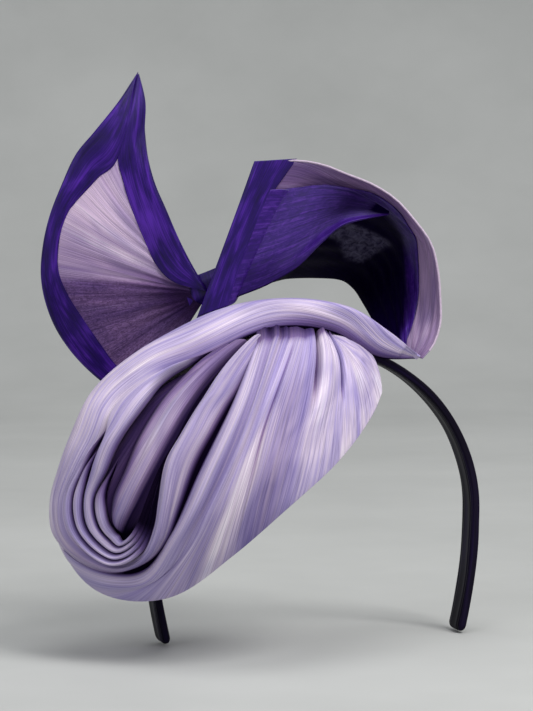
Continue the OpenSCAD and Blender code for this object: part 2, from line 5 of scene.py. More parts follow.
import bpy
import numpy as np
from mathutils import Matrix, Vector


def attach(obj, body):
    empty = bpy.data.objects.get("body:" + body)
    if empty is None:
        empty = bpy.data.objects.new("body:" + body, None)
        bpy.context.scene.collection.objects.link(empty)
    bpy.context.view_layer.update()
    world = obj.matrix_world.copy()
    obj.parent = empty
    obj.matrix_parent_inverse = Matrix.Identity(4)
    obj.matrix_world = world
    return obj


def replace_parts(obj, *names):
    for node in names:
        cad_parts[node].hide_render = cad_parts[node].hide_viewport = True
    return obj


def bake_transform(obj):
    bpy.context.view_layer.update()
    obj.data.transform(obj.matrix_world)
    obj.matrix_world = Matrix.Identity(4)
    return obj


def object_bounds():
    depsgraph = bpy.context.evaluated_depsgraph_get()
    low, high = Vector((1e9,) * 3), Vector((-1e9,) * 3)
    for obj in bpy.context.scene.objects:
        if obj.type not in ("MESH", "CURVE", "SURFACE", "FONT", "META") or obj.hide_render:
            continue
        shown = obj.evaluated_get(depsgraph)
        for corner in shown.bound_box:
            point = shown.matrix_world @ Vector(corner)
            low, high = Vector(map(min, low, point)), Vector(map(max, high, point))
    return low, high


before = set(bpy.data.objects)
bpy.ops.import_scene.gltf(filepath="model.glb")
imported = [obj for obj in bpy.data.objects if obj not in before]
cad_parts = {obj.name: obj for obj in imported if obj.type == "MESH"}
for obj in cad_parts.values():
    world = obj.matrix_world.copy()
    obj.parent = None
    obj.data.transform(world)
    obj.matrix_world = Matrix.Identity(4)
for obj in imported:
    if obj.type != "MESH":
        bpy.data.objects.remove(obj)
cad_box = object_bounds()

MM = 0.001
TURN = math.radians(-15)  # the base and trims face this far round to the wearer's right
ASIDE = 1.5  # and sit this far to the wearer's left of the band's middle
BLOCK_AT = np.array([-38.0, -14.0, 21.0])  # centre, radii and tilt of the egg that the base was blocked on
BLOCK_R = np.array([81.0, 80.0, 60.0])
BLOCK_TILT = math.radians(28)
SHELL_T = 1.2
CLOTH_T = 0.5
BAND_R = 75.5
BAND_W = 15.0
BAND_T = 4.0


# ---------- curves and grids, in millimetres ----------
def between(a, b, c, d, t):
    """Point at t from b to c on the smooth curve through four neighbours."""
    return 0.5 * (2 * b + (c - a) * t + (2 * a - 5 * b + 4 * c - d) * t**2 + (3 * b - a - 3 * c + d) * t**3)


def curve(points, s):
    """Smooth curve through points; s counts points from 0 and may be an array."""
    p = np.asarray(points, float)
    if p.ndim == 1:
        p = p[:, None]
    n = len(p) - 1
    q = np.clip(np.asarray(s, float), 0, n - 1e-6)
    i = np.floor(q).astype(int)
    t = (q - i)[..., None]
    return between(p[np.maximum(i - 1, 0)], p[i], p[i + 1], p[np.minimum(i + 2, n)], t)


def value(points, s):
    """The same for a list of single numbers."""
    return curve(points, s)[..., 0]


def steps(pairs, s):
    """Smooth function through (position, value) pairs."""
    x, y = zip(*pairs)
    k = np.interp(s, x, np.arange(len(x)))
    return value(y, k)


def ring(points, s):
    """Closed smooth curve through points."""
    p = np.asarray(points, float)
    n = len(p)
    i = np.floor(s).astype(int)
    t = (s - i)[..., None]
    return between(p[(i - 1) % n], p[i % n], p[(i + 1) % n], p[(i + 2) % n], t)


def across(lines, c):
    """Smooth surface over a row of lines (the last axis but one); c counts lines from 0."""
    last = lines.shape[-2] - 1
    q = np.clip(c, 0, last - 1e-6)
    i = np.floor(q).astype(int)

    def line(k):
        k = np.clip(i + k, 0, last)[..., None, None]
        return np.take_along_axis(lines, np.broadcast_to(k, i.shape + (1, 3)), -2)[..., 0, :]

    return between(line(-1), line(0), line(1), line(2), (q - i)[..., None])


def unit(v):
    return v / np.maximum(np.linalg.norm(v, axis=-1, keepdims=True), 1e-9)


def mix(a, b, t):
    return a + (b - a) * t


def smooth(a, b, x):
    """Soft step from 0 at a to 1 at b."""
    t = np.clip((np.asarray(x, float) - a) / (b - a), 0, 1)
    return t * t * (3 - 2 * t)


def fall(a, b, x):
    """Soft step from 1 at a to 0 at b."""
    return 1 - smooth(a, b, x)


def lattice(s0, s1, rows, t0, t1, cols):
    """Grids of two parameters, s down the rows and t across the columns."""
    return np.meshgrid(np.linspace(s0, s1, rows), np.linspace(t0, t1, cols), indexing="ij")


def tilted(v, angle):
    """Turned by an angle about the line from front to back."""
    c, s = math.cos(angle), math.sin(angle)
    return np.stack([v[..., 0] * c - v[..., 2] * s, v[..., 1], v[..., 0] * s + v[..., 2] * c], -1)


def on_block(p, h):
    """The point of the blocked egg form below p, raised h off it."""
    k = unit(tilted(p - BLOCK_AT, -BLOCK_TILT) / BLOCK_R)
    return BLOCK_AT + tilted(k * (BLOCK_R + np.asarray(h, float)[..., None]), BLOCK_TILT)


def flow_uv(g):
    """Texture coordinates in metres: along the rows' length and across the columns."""
    along = np.linalg.norm(np.diff(g, axis=0), axis=2).mean(axis=1)
    u = np.concatenate([[0], np.cumsum(along)])
    across = np.cumsum(np.linalg.norm(np.diff(g, axis=1), axis=2), axis=1)
    mid = np.concatenate([np.zeros((len(g), 1)), across], 1)
    wide = mid[:, -1].max()
    v = mid / np.maximum(mid[:, -1:], 1e-6) * wide
    return np.stack([np.broadcast_to(u[:, None], v.shape), v], -1) * MM


def to_row(p):
    """Layout millimetres to row metres."""
    c, s = math.cos(TURN), math.sin(TURN)
    x, y, z = np.moveaxis(np.asarray(p, float), -1, 0)
    return np.stack([x * c - y * s + ASIDE, x * s + y * c, z], -1) * MM


# ---------- mesh building ----------
def quads(rows, cols, close_rows=False, close_cols=False):
    """Faces of a grid of points, which may close on itself either way."""
    i = np.arange(rows if close_rows else rows - 1)
    j = np.arange(cols if close_cols else cols - 1)
    a, b = np.meshgrid(i, j, indexing="ij")
    a2, b2 = (a + 1) % rows, (b + 1) % cols
    return np.stack([a * cols + b, a2 * cols + b, a2 * cols + b2, a * cols + b2], -1).reshape(-1, 4)


def place(name, data):
    """New object in the scene, with the given mesh, light or camera."""
    obj = bpy.data.objects.new(name, data)
    bpy.context.scene.collection.objects.link(obj)
    return obj


def link(name, verts, faces, material, uv=None, tones=None):
    """Smooth-shaded object from points in metres, with flow coordinates and named shades per point."""
    me = bpy.data.meshes.new(name)
    me.from_pydata(np.asarray(verts).tolist(), [], faces if isinstance(faces, list) else faces.tolist())
    if uv is not None:
        layer = me.uv_layers.new(name="flow")
        loops = np.zeros(len(me.loops), int)
        me.loops.foreach_get("vertex_index", loops)
        layer.data.foreach_set("uv", np.asarray(uv, np.float32).reshape(-1, 2)[loops].ravel())
    for label, values in (tones or {}).items():
        layer = me.attributes.new(label, "FLOAT", "POINT")
        layer.data.foreach_set("value", np.asarray(values, np.float32).ravel())
    me.polygons.foreach_set("use_smooth", [True] * len(me.polygons))
    me.update()
    me.materials.append(material)
    return place(name, me)


def sheet(name, front, back, material, uv=None, tones=None, closed=False):
    """Closed thin sheet between two matching grids of layout points."""
    rows, cols = front.shape[:2]
    uv = flow_uv(front) if uv is None else uv
    outer = quads(rows, cols, closed)
    size = rows * cols
    faces = [outer, outer[:, ::-1] + size]

    def hem(a, b):
        """Faces between the two sides, along the edge from points a to points b."""
        faces.append(np.stack([a, a + size, b + size, b], -1))

    i = np.arange(rows if closed else rows - 1) * cols
    n = (i + cols) % size
    hem(i, n)
    hem(n + cols - 1, i + cols - 1)
    if not closed:
        j = np.arange(cols - 1)
        hem(j + 1, j)
        hem(size - cols + j, size - cols + j + 1)
    pts = np.concatenate([front.reshape(-1, 3), back.reshape(-1, 3)])
    verts = to_row(pts)
    uvs = np.concatenate([uv.reshape(-1, 2)] * 2)
    tones = {k: np.concatenate([np.ravel(v)] * 2) for k, v in (tones or {}).items()}
    faces = np.concatenate(faces)
    mid = (rows // 2) * cols + cols // 2
    down, side = verts[mid + cols] - verts[mid], verts[mid + 1] - verts[mid]
    if np.dot(np.cross(down, side), verts[mid] - verts[mid + size]) < 0:
        faces = faces[:, ::-1]
    return link(name, verts, faces, material, uvs, tones)


# ---------- materials ----------
class Nodes:
    """Small helper for building a node material."""

    def __init__(self, name):
        self.mat = bpy.data.materials.new(name)
        self.mat.use_nodes = True
        self.tree = self.mat.node_tree
        self.tree.nodes.clear()
        self.out = self.add("ShaderNodeOutputMaterial")
        self.bsdf = self.add("ShaderNodeBsdfPrincipled")
        self.wire(self.bsdf.outputs[0], self.out.inputs[0])

    def add(self, kind, **props):
        node = self.tree.nodes.new(kind)
        for k, v in props.items():
            setattr(node, k, v)
        return node

    def wire(self, a, b):
        self.tree.links.new(a, b)

    def uv(self, along=1.0, across=1.0):
        """Flow coordinates scaled separately along and across the cloth."""
        src = self.add("ShaderNodeUVMap", uv_map="flow")
        node = self.add("ShaderNodeMapping")
        node.inputs["Scale"].default_value = (along, across, 1.0)
        self.wire(src.outputs[0], node.inputs[0])
        return node.outputs[0]

    def noise(self, vector, scale=1.0, detail=2.0, rough=0.5, warp=0.0):
        node = self.add("ShaderNodeTexNoise")
        node.inputs["Scale"].default_value = scale
        node.inputs["Detail"].default_value = detail
        node.inputs["Roughness"].default_value = rough
        node.inputs["Distortion"].default_value = warp
        self.wire(vector, node.inputs["Vector"])
        return node.outputs["Fac"]

    def ramp(self, fac, stops):
        node = self.add("ShaderNodeValToRGB")
        el = node.color_ramp.elements
        while len(el) < len(stops):
            el.new(0.5)
        for e, (pos, col) in zip(el, stops):
            e.position = pos
            e.color = (*col, 1.0)
        self.wire(fac, node.inputs[0])
        return node.outputs[0]

    def shade(self, label):
        """A shade that the mesh holds per point."""
        return self.add("ShaderNodeAttribute", attribute_name=label).outputs["Fac"]

    def fill(self, slot, val):
        """Put a number, a colour or another node's output in a slot."""
        if isinstance(val, (int, float)):
            slot.default_value = val
        elif isinstance(val, tuple):
            slot.default_value = (*val, 1.0) if len(val) == 3 else val
        else:
            self.wire(val, slot)

    def maths(self, op, a, b):
        node = self.add("ShaderNodeMath", operation=op)
        for slot, val in zip(node.inputs, (a, b)):
            self.fill(slot, val)
        return node.outputs[0]

    def total(self, *parts):
        """Sum of (value, weight) pairs."""
        weighted = [self.maths("MULTIPLY", val, weight) for val, weight in parts]
        out = weighted[0]
        for other in weighted[1:]:
            out = self.maths("ADD", out, other)
        return out

    def blend(self, mode, fac, a, b):
        node = self.add("ShaderNodeMix", data_type="RGBA", blend_type=mode)
        for slot, val in ((node.inputs[0], fac), (node.inputs[6], a), (node.inputs[7], b)):
            self.fill(slot, val)
        return node.outputs[2]

    def bump(self, height, strength, distance):
        node = self.add("ShaderNodeBump")
        node.inputs["Strength"].default_value = strength
        node.inputs["Distance"].default_value = distance
        self.wire(height, node.inputs["Height"])
        return node.outputs[0]

    def grain(self, share):
        """Highlights stretched along the flow of the cloth."""
        tangent = self.add("ShaderNodeTangent", direction_type="UV_MAP", uv_map="flow")
        self.set(Anisotropic=share, Tangent=tangent.outputs[0])

    def set(self, **values):
        for name, val in values.items():
            self.fill(self.bsdf.inputs[name.replace("_", " ")], val)


def srgb(*shades):
    """Linear colour from its 0 to 255 display values."""
    return tuple(((c / 255 + 0.055) / 1.055) ** 2.4 if c > 10 else c / 255 / 12.92 for c in shades)


def streaked_silk(name, cool, base, warm_tint_and_highlight, light, rough=0.48, see_through=0.0):
    """Silk abaca: long fibres that run with the cloth, in bands and hair-fine lines."""
    m = Nodes(name)
    bands = m.noise(m.uv(7, 150), 1.0, 2.0, 0.55, 0.3)
    lines = m.noise(m.uv(14, 700), 1.0, 2.0, 0.6)
    hairs = m.noise(m.uv(30, 2600), 1.0, 1.0, 0.6)
    # Per-point tint shift: the silk's own warmer and cooler bands, with painted highlight and shade mixed in
    # on the front panel.
    body = m.total((bands, 0.58), (lines, 0.42), (m.shade("warm_tint_and_highlight"), 0.10))
    colour = m.ramp(body, [(0.33, cool), (0.46, base), (0.58, warm_tint_and_highlight), (0.69, light)])
    fine = m.ramp(hairs, [(0.36, (0.62, 0.60, 0.68)), (0.48, (0.92, 0.91, 0.94)), (0.62, (1.10, 1.09, 1.10))])
    colour = m.blend("MULTIPLY", 0.8, colour, fine)
    clouds = m.noise(m.uv(24, 70), 1.0, 2.0, 0.5, 0.5)
    patches = m.ramp(clouds, [(0.36, (0.68, 0.66, 0.80)), (0.6, (1.06, 1.05, 1.03))])
    colour = m.blend("MULTIPLY", 0.9, colour, patches)
    # Painted shade: the per-point shade darkens the colour towards near-black in creases, hollows and
    # undersides, and takes sheen and shine away there.
    tone = m.shade("shade")
    shade_darkening = m.ramp(tone, [(0.0, (1, 1, 1)), (0.5, (0.34, 0.26, 0.43)), (0.82, (0.07, 0.04, 0.12)),
                           (1.0, (0.006, 0.003, 0.012))])
    colour = m.blend("MULTIPLY", 1.0, colour, shade_darkening)
    unshaded = m.maths("SUBTRACT", 1.0, tone)
    if see_through:
        marble = m.noise(m.uv(420, 760), 1.0, 3.0, 0.6, 1.6)
        mottle = m.ramp(marble, [(0.4, (0.72, 0.66, 0.74)), (0.6, (1.35, 1.3, 1.35))])
        colour = m.blend("MULTIPLY", m.shade("moire_and_backlight"), colour, mottle)
    cross = m.noise(m.uv(1700, 260), 1.0, 1.0, 0.5)
    relief = m.total((lines, 0.7), (hairs, 0.35), (cross, 0.12))
    m.grain(0.55)
    m.set(Base_Color=colour, Roughness=rough, Normal=m.bump(relief, 0.7, 0.0006))
    m.set(Sheen_Weight=m.maths("MULTIPLY", unshaded, 0.22), Sheen_Roughness=0.4, Sheen_Tint=light,
          Specular_IOR_Level=m.maths("MULTIPLY", unshaded, 0.36))
    if see_through:
        glow = m.add("ShaderNodeBsdfTranslucent")
        m.wire(colour, glow.inputs[0])
        joined = m.add("ShaderNodeMixShader")
        joined.inputs[0].default_value = see_through
        m.wire(m.bsdf.outputs[0], joined.inputs[1])
        m.wire(glow.outputs[0], joined.inputs[2])
        m.wire(joined.outputs[0], m.out.inputs[0])
    return m.mat


def satin(name, deep, base, lit, rough=0.36, lengthwise=60, shine=0.24):
    """Smooth satin with a soft weave line along its length, and painted highlight and shade where a piece
    carries them per point.
    """
    m = Nodes(name)
    soft = m.noise(m.uv(lengthwise, 170), 1.0, 2.0, 0.5, 0.4)
    ribs = m.noise(m.uv(25, 1500), 1.0, 1.0, 0.5)
    weave = m.noise(m.uv(2600, 2600), 1.0, 1.0, 0.5)
    # Per-point painted highlight and shade lift or lower the satin's colour here.
    tone = m.total((soft, 0.65), (ribs, 0.35), (m.shade("warm_tint_and_highlight"), 0.12))
    colour = m.ramp(tone, [(0.32, deep), (0.5, base), (0.72, lit)])
    relief = m.total((ribs, 0.5), (weave, 0.3), (soft, 1.2))
    m.grain(0.6)
    m.set(Base_Color=colour, Roughness=rough, Normal=m.bump(relief, 0.35, 0.0005))
    m.set(Sheen_Weight=0.03, Sheen_Roughness=0.3, Sheen_Tint=lit, Specular_IOR_Level=shine)
    return m.mat


def mottled_silk(name, deep, base, lit):
    """Stiffened silk abaca in one strong colour, with slubs and faint crossing fibres."""
    m = Nodes(name)
    lines = m.noise(m.uv(26, 850), 1.0, 2.0, 0.6)
    slubs = m.noise(m.uv(260, 420), 1.0, 3.0, 0.6, 0.8)
    colour = m.ramp(m.total((lines, 0.55), (slubs, 0.45)), [(0.28, deep), (0.5, base), (0.76, lit)])
    # Painted shade: the per-point shade mixes the colour towards near-black and takes sheen and shine away
    # there.
    tone = m.shade("shade")
    colour = m.blend("MIX", tone, colour, tuple(x * 0.1 for x in deep))
    unshaded = m.maths("SUBTRACT", 1.0, tone)
    # Painted light: a faint grey-violet glow, set per point, where light would come through the loop's
    # lining.
    painted_backlight = m.ramp(slubs, [(0.36, (0.022, 0.018, 0.045)), (0.66, (0.10, 0.095, 0.15))])
    colour = m.blend("MIX", m.shade("moire_and_backlight"), colour, painted_backlight)
    relief = m.total((lines, 0.6), (slubs, 0.5))
    m.grain(0.4)
    m.set(Base_Color=colour, Roughness=0.4, Normal=m.bump(relief, 0.4, 0.0005))
    m.set(Sheen_Weight=m.maths("MULTIPLY", unshaded, 0.12), Sheen_Roughness=0.35, Sheen_Tint=lit,
          Specular_IOR_Level=m.maths("MULTIPLY", unshaded, 0.3))
    return m.mat


def plain_cloth(name, dark, light, scale=2200, rough=0.85, ribs=0):
    """Plain woven, felted or ribbed cloth for the hidden side."""
    m = Nodes(name)
    coord = m.add("ShaderNodeTexCoord").outputs["Object"]
    speck = m.noise(coord, scale, 2.0, 0.6)
    cloud = m.noise(coord, scale / 40, 2.0, 0.5)
    fac = m.total((speck, 0.6), (cloud, 0.4))
    relief = speck
    if ribs:
        wave = m.add("ShaderNodeTexWave", wave_type="BANDS")
        wave.inputs["Scale"].default_value = ribs
        m.wire(m.uv(1, 0), wave.inputs["Vector"])
        relief = m.total((speck, 0.3), (wave.outputs["Fac"], 1.0))
    m.set(Base_Color=m.ramp(fac, [(0.35, dark), (0.65, light)]), Roughness=rough,
          Normal=m.bump(relief, 0.5, 0.0004))
    m.set(Sheen_Weight=0.2, Sheen_Roughness=0.5)
    return m.mat


def hard(name, colour, rough, metal=0.0):
    """Plain hard finish with a fine grain."""
    m = Nodes(name)
    coord = m.add("ShaderNodeTexCoord").outputs["Object"]
    grain = m.noise(coord, 900, 3.0, 0.6)
    dark = tuple(c * 0.75 for c in colour)
    m.set(Base_Color=m.ramp(grain, [(0.3, dark), (0.7, colour)]), Metallic=metal,
          Roughness=m.maths("ADD", m.maths("MULTIPLY", grain, 0.2), rough - 0.1),
          Normal=m.bump(grain, 0.2, 0.0003))
    return m.mat


LILAC = streaked_silk("lilac_silk", srgb(150, 137, 194), srgb(186, 173, 212), srgb(212, 198, 216),
                      srgb(242, 235, 246))
MAUVE = streaked_silk("mauve_silk", srgb(184, 156, 200), srgb(216, 194, 224), srgb(226, 204, 228),
                      srgb(248, 238, 250), 0.5, 0.22)
VIOLET_SILK = mottled_silk("violet_silk", srgb(25, 4, 70), srgb(46, 12, 106), srgb(88, 46, 154))
VIOLET_SATIN = satin("violet_satin", srgb(17, 1, 58), srgb(34, 2, 94), srgb(80, 34, 158))
BAND_SATIN = satin("band_satin", srgb(5, 2, 12), srgb(11, 5, 25), srgb(28, 16, 54), 0.55, 12, 0.08)
BUCKRAM = plain_cloth("buckram", srgb(180, 172, 168), srgb(216, 210, 204), 1800, 0.9)
LINING = plain_cloth("lining_cloth", srgb(140, 122, 172), srgb(178, 160, 204), 2600, 0.7)
PETERSHAM = plain_cloth("petersham", srgb(112, 92, 150), srgb(150, 130, 186), 2400, 0.7, 260)
FELT = plain_cloth("felt", srgb(30, 20, 52), srgb(58, 44, 88), 1500, 0.95)
THREAD = plain_cloth("thread", srgb(34, 22, 70), srgb(70, 52, 120), 3000, 0.6)
WIRE = hard("rim_wire", srgb(196, 194, 198), 0.45, 0.3)
VIOLET_WIRE = hard("violet_covered_wire", srgb(52, 24, 112), 0.7)
MAUVE_WIRE = hard("mauve_covered_wire", srgb(206, 186, 208), 0.7)
CORE = hard("band_core", srgb(52, 48, 56), 0.5)

# ---------- the draped base ----------
# Matching points of the swirl's lines. They start under the roll, run down the face side of
# the eye, turn round its bottom (about 8) and climb the outer side to the flange's tip (20).
RIM = [[26, -40, 63], [27, -53, 55], [12, -78, 35], [-14, -90, 12], [-43, -84, -12], [-75, -60, -29],
       [-100, -45, -19], [-109, -42, 5], [-105, -40, 28], [-90, -36, 52], [-68, -26, 71],
       [-42, -13, 83], [-16, -2, 84], [0, 0, 80], [9, -6, 77], [19, -20, 71]]
BASE_MID = np.array([-42.0, -90.0, 30.0])
HEM = [[6, -38, 82], [25, -36, 70], [28, -50, 58], [13, -78, 36], [-14, -91, 12], [-43, -86, -13],
       [-76, -60, -32], [-103, -48, -21], [-112, -46, 5]]
EYE = [[-28, -56, 78], [-43, -72, 66], [-52, -81, 54], [-59, -87, 41], [-66, -89, 29], [-71, -88, 16],
       [-74, -86, 8], [-77, -84, 2], [-80, -81, -1], [-81, -81, 1], [-79, -83, 6], [-74, -87, 16],
       [-67, -88, 29], [-60, -86, 42], [-53, -81, 53], [-44, -73, 65], [-29, -57, 78]]
FOLD_IN = [[-28, -58, 80], [-42, -76, 66], [-50, -84, 54], [-57, -89, 43], [-63, -91, 32], [-66, -93, 17],
           [-68, -91, 5], [-73, -85, -6], [-84, -77, -11], [-95, -70, -6], [-102, -64, 3],
           [-103, -63, 14], [-97, -67, 26], [-88, -69, 40], [-80, -65, 53], [-64, -65, 64],
           [-44, -64, 74], [-18, -49, 84], [6, -40, 82], [25, -31, 71], [42, -29, 70]]
FOLD_OUT = [[-20, -54, 81], [-29, -77, 66], [-36, -85, 55], [-42, -91, 45], [-49, -94, 32], [-56, -95, 14],
            [-62, -90, -1], [-71, -82, -11], [-86, -70, -17], [-100, -58, -14], [-110, -46, -5],
            [-112, -46, 8], [-108, -46, 26], [-100, -45, 43], [-87, -43, 58], [-67, -38, 75],
            [-42, -33, 91], [-13, -34, 96], [13, -36, 93], [31, -33, 82], [44, -30, 71]]
FOLD_BACK = [[-18, -54, 80], [-26, -77, 65], [-33, -86, 54], [-39, -91, 43], [-46, -94, 30], [-53, -95, 12],
             [-60, -89, -4], [-70, -80, -15], [-87, -66, -22], [-102, -50, -19], [-111, -37, -6],
             [-114, -36, 9], [-109, -34, 27], [-100, -31, 45], [-88, -27, 59], [-70, -19, 75],
             [-43, -7, 89], [-16, 5, 89], [10, -7, 82], [27, -20, 74], [43, -29, 70]]
FOLD_H = [4, 5, 6, 6, 6, 5, 4, 3, 3, 4, 5, 5, 6, 8, 9, 9, 8, 6, 2, 1, 0.4]
# Lines between the nested pleats, as fractions from the eye to the big fold, at points 0 to 15
PLEAT_LINES = [
    [0] * 9 + [0.04, 0.26, 0.44, 0.56, 0.66, 0.60, 0.78],
    [0.9, 0.9, 0.9, 0.8, 0.5, 0.3, 0.25, 0.25, 0.25, 0.30, 0.46, 0.59, 0.61, 0.67, 0.61, 0.79],
    [0.95, 0.95, 0.95, 0.9, 0.75, 0.55, 0.5, 0.5, 0.52, 0.56, 0.66, 0.74, 0.86, 0.95, 0.98, 0.99],
    [0.98, 0.98, 0.98, 0.95, 0.88, 0.78, 0.75, 0.76, 0.77, 0.79, 0.83, 0.88, 0.94, 0.98, 0.99, 0.995],
    [1] * 16]
INNER_LINE = [(9, 0.02), (10, 0.20), (11, 0.33), (12, 0.38), (13, 0.48), (14, 0.48), (15, 0.60), (16, 0.92)]
# Fan lines of the front panel, seen from the front (x, z), from the big fold to the wearer's left
FAN = [[[-26, 78], [-36, 56], [-50, 28], [-62, 2], [-78, -17]],
       [[-21, 80], [-29, 56], [-41, 29], [-54, 3], [-68, -19]],
       [[-15, 81], [-23, 60], [-31, 39], [-40, 19], [-48, 1]],
       [[-8, 81], [-15, 63], [-21, 47], [-26, 29], [-31, 11]],
       [[1, 82], [1, 69], [-1, 56], [-5, 42], [-8, 28]],
       [[6, 82], [11, 72], [12, 62], [12, 52], [12, 42]],
       [[8, 81], [15, 77], [20, 74], [24, 70], [27, 65]]]
FAN_HEM = [7.4, 6.6, 5.6, 4.75, 3.95, 3.1, 2.0]  # where each fan line meets the hem


def bump(x, at, wide):
    return np.exp(-(((x - at) / wide) ** 2))


def wander(x, y, seed):
    """Slow, repeatable unevenness between -1 and 1."""
    rng = np.random.default_rng(seed)
    total = 0
    for _ in range(5):
        k = rng.normal(0, 1, 2)
        total = total + np.sin(k[0] * x + k[1] * y + rng.uniform(0, 6.3))
    return total / 5


def front_of_block(x, z, h):
    """The point on the face side of the form at height h, seen from the front at x and z."""
    v = tilted(np.stack([x, np.full(x.shape, BLOCK_AT[1]), z], -1) - BLOCK_AT, -BLOCK_TILT)
    r = BLOCK_R + h
    w = np.clip(1 - (v[..., 0] / r[0]) ** 2 - (v[..., 2] / r[2]) ** 2, 0.02, 1)
    return np.stack([x, BLOCK_AT[1] - r[1] * np.sqrt(w), z], -1)


def fan_point(c, r):
    """Point of the front panel: c counts fan lines, r runs from the gather (0) to the hem (1)."""
    lines = np.array(FAN, float)
    rows = []
    for line, hem in zip(lines, FAN_HEM):
        body = front_of_block(line[:, 0], line[:, 1], 5)
        rows.append(np.concatenate([body, curve(HEM, np.array([hem]))]))
    net = np.array(rows)
    along = curve(net.transpose(1, 0, 2).reshape(6, -1), r * 5).reshape(r.shape + (7, 3))
    return across(along, c)


def panel_height(c, r):
    fade = fall(0.75, 1.0, r)
    h = 1.5 + 4.6 * (1 - r**2.2) * (1 - 0.12 * c)
    h = h * (1 - 0.8 * np.exp(-((c / 0.3) ** 2)) * fade)
    h = h + fade * 1.5 * bump(c, 0.62, 0.26) * smooth(0.0, 0.2, r)
    h = h - fade * 1.3 * bump(c, 1.25, 0.28) * smooth(0.05, 0.3, r)
    h = h + fade * 0.7 * bump(c, 1.75, 0.2)
    h = h - fade * 0.6 * bump(c, 2.2, 0.15) * fall(0.3, 0.7, r)
    past = c - 3.0
    tuck = np.where(past > 0, np.exp(-past / 0.45), -0.55 * np.exp(past / 0.16))
    h = h + 1.7 * tuck * smooth(0.02, 0.16, r) * fall(0.5, 0.9, r)
    top = fall(0.25, 0.6, r)
    h = h - 4.2 * bump(c, 3.97, 0.075) * fall(0.12, 0.52, r)
    h = h + 1.5 * bump(c, 4.4, 0.26) * top
    h = h - 3.6 * bump(c, 4.95, 0.07) * fall(0.22, 0.6, r)
    h = h + 0.9 * bump(c, 5.25, 0.2) * top
    gather = np.abs(np.sin(math.pi * (c * 1.5 + 0.15 * np.sin(3 * c)))) ** 0.7
    h = h + 1.1 * gather * fall(0.0, 0.34, r) - 0.8 * fall(0.0, 0.2, r)
    h = h + 0.28 * wander(c * 5.5, r * 3, 3) * fade
    return np.maximum(h, 0.5)


def front_panel():
    """Puffed panel over the forehead. Its gathered top (r below 0) runs on under the roll."""
    c, r = np.meshgrid(np.linspace(0, 6.5, 320), np.linspace(-0.1, 1, 165), indexing="ij")
    under = np.clip(-r / 0.1, 0, 1)[..., None]
    p = fan_point(c, np.maximum(r, 0))
    closing = mix(np.array([6.0, -22, 90]), np.array([19.0, -22, 75]), np.clip(r, 0, 1)[..., None])
    p = mix(p, closing, np.clip((c - 6) / 0.5, 0, 1)[..., None])
    p = mix(p, p * np.array([1.0, 0, 0]) + np.array([-2.0, -26.0, 88.0]), under)
    h = panel_height(c, np.maximum(r, 0)) * (1 - 0.5 * under[..., 0])
    uv = np.stack([r * 105, c * 15.5], -1) * MM
    # Tint across the fan: a warmer, paler band by the tuck and over a raised fold, and a cooler one in a
    # groove and over the middle; partly the silk's own tone, partly painted highlight and shade.
    warm_tint_and_highlight = 0.9 * bump(c, 2.72, 0.26) * smooth(0.25, 0.5, r)
    warm_tint_and_highlight = warm_tint_and_highlight + 0.7 * bump(c, 4.45, 0.3) * fall(0.6, 1.0, r)
    warm_tint_and_highlight = warm_tint_and_highlight - 0.9 * bump(c, 3.45, 0.36) - 0.7 * bump(c, 1.35, 0.3) + 0.5 * bump(c, 5.5, 0.4)
    # Painted shade: in the crease along the big fold, under the roll where the gather runs in, along the
    # darts and the tuck, in a groove and over the middle of the fan.
    dark = 0.95 * np.exp(-((c / 0.17) ** 2)) * fall(0.8, 1.0, r) + 0.8 * fall(-0.04, 0.06, r)
    top = fall(0.12, 0.5, r)
    dark = dark + 0.75 * bump(c, 3.97, 0.05) * top + 0.75 * bump(c, 4.95, 0.045) * fall(0.25, 0.6, r)
    dark = dark + 0.45 * bump(c, 2.92, 0.05) * smooth(0.0, 0.1, r) * fall(0.4, 0.75, r)
    dark = dark + 0.22 * bump(c, 1.25, 0.3) * fall(0.5, 0.8, r) + 0.12 * bump(c, 2.1, 0.3)
    dark = dark + 0.28 * bump(c, 3.45, 0.5) * smooth(0.05, 0.3, r)
    return sheet("silk_front_panel", on_block(p, h + CLOTH_T), on_block(p, h), LILAC, uv,
                 {"shade": np.clip(dark, 0, 1), "warm_tint_and_highlight": warm_tint_and_highlight})


def flush(s):
    """Where the second roll and the top roll meet without a crease."""
    return smooth(12.6, 13.6, s) * fall(14.8, 15.8, s)


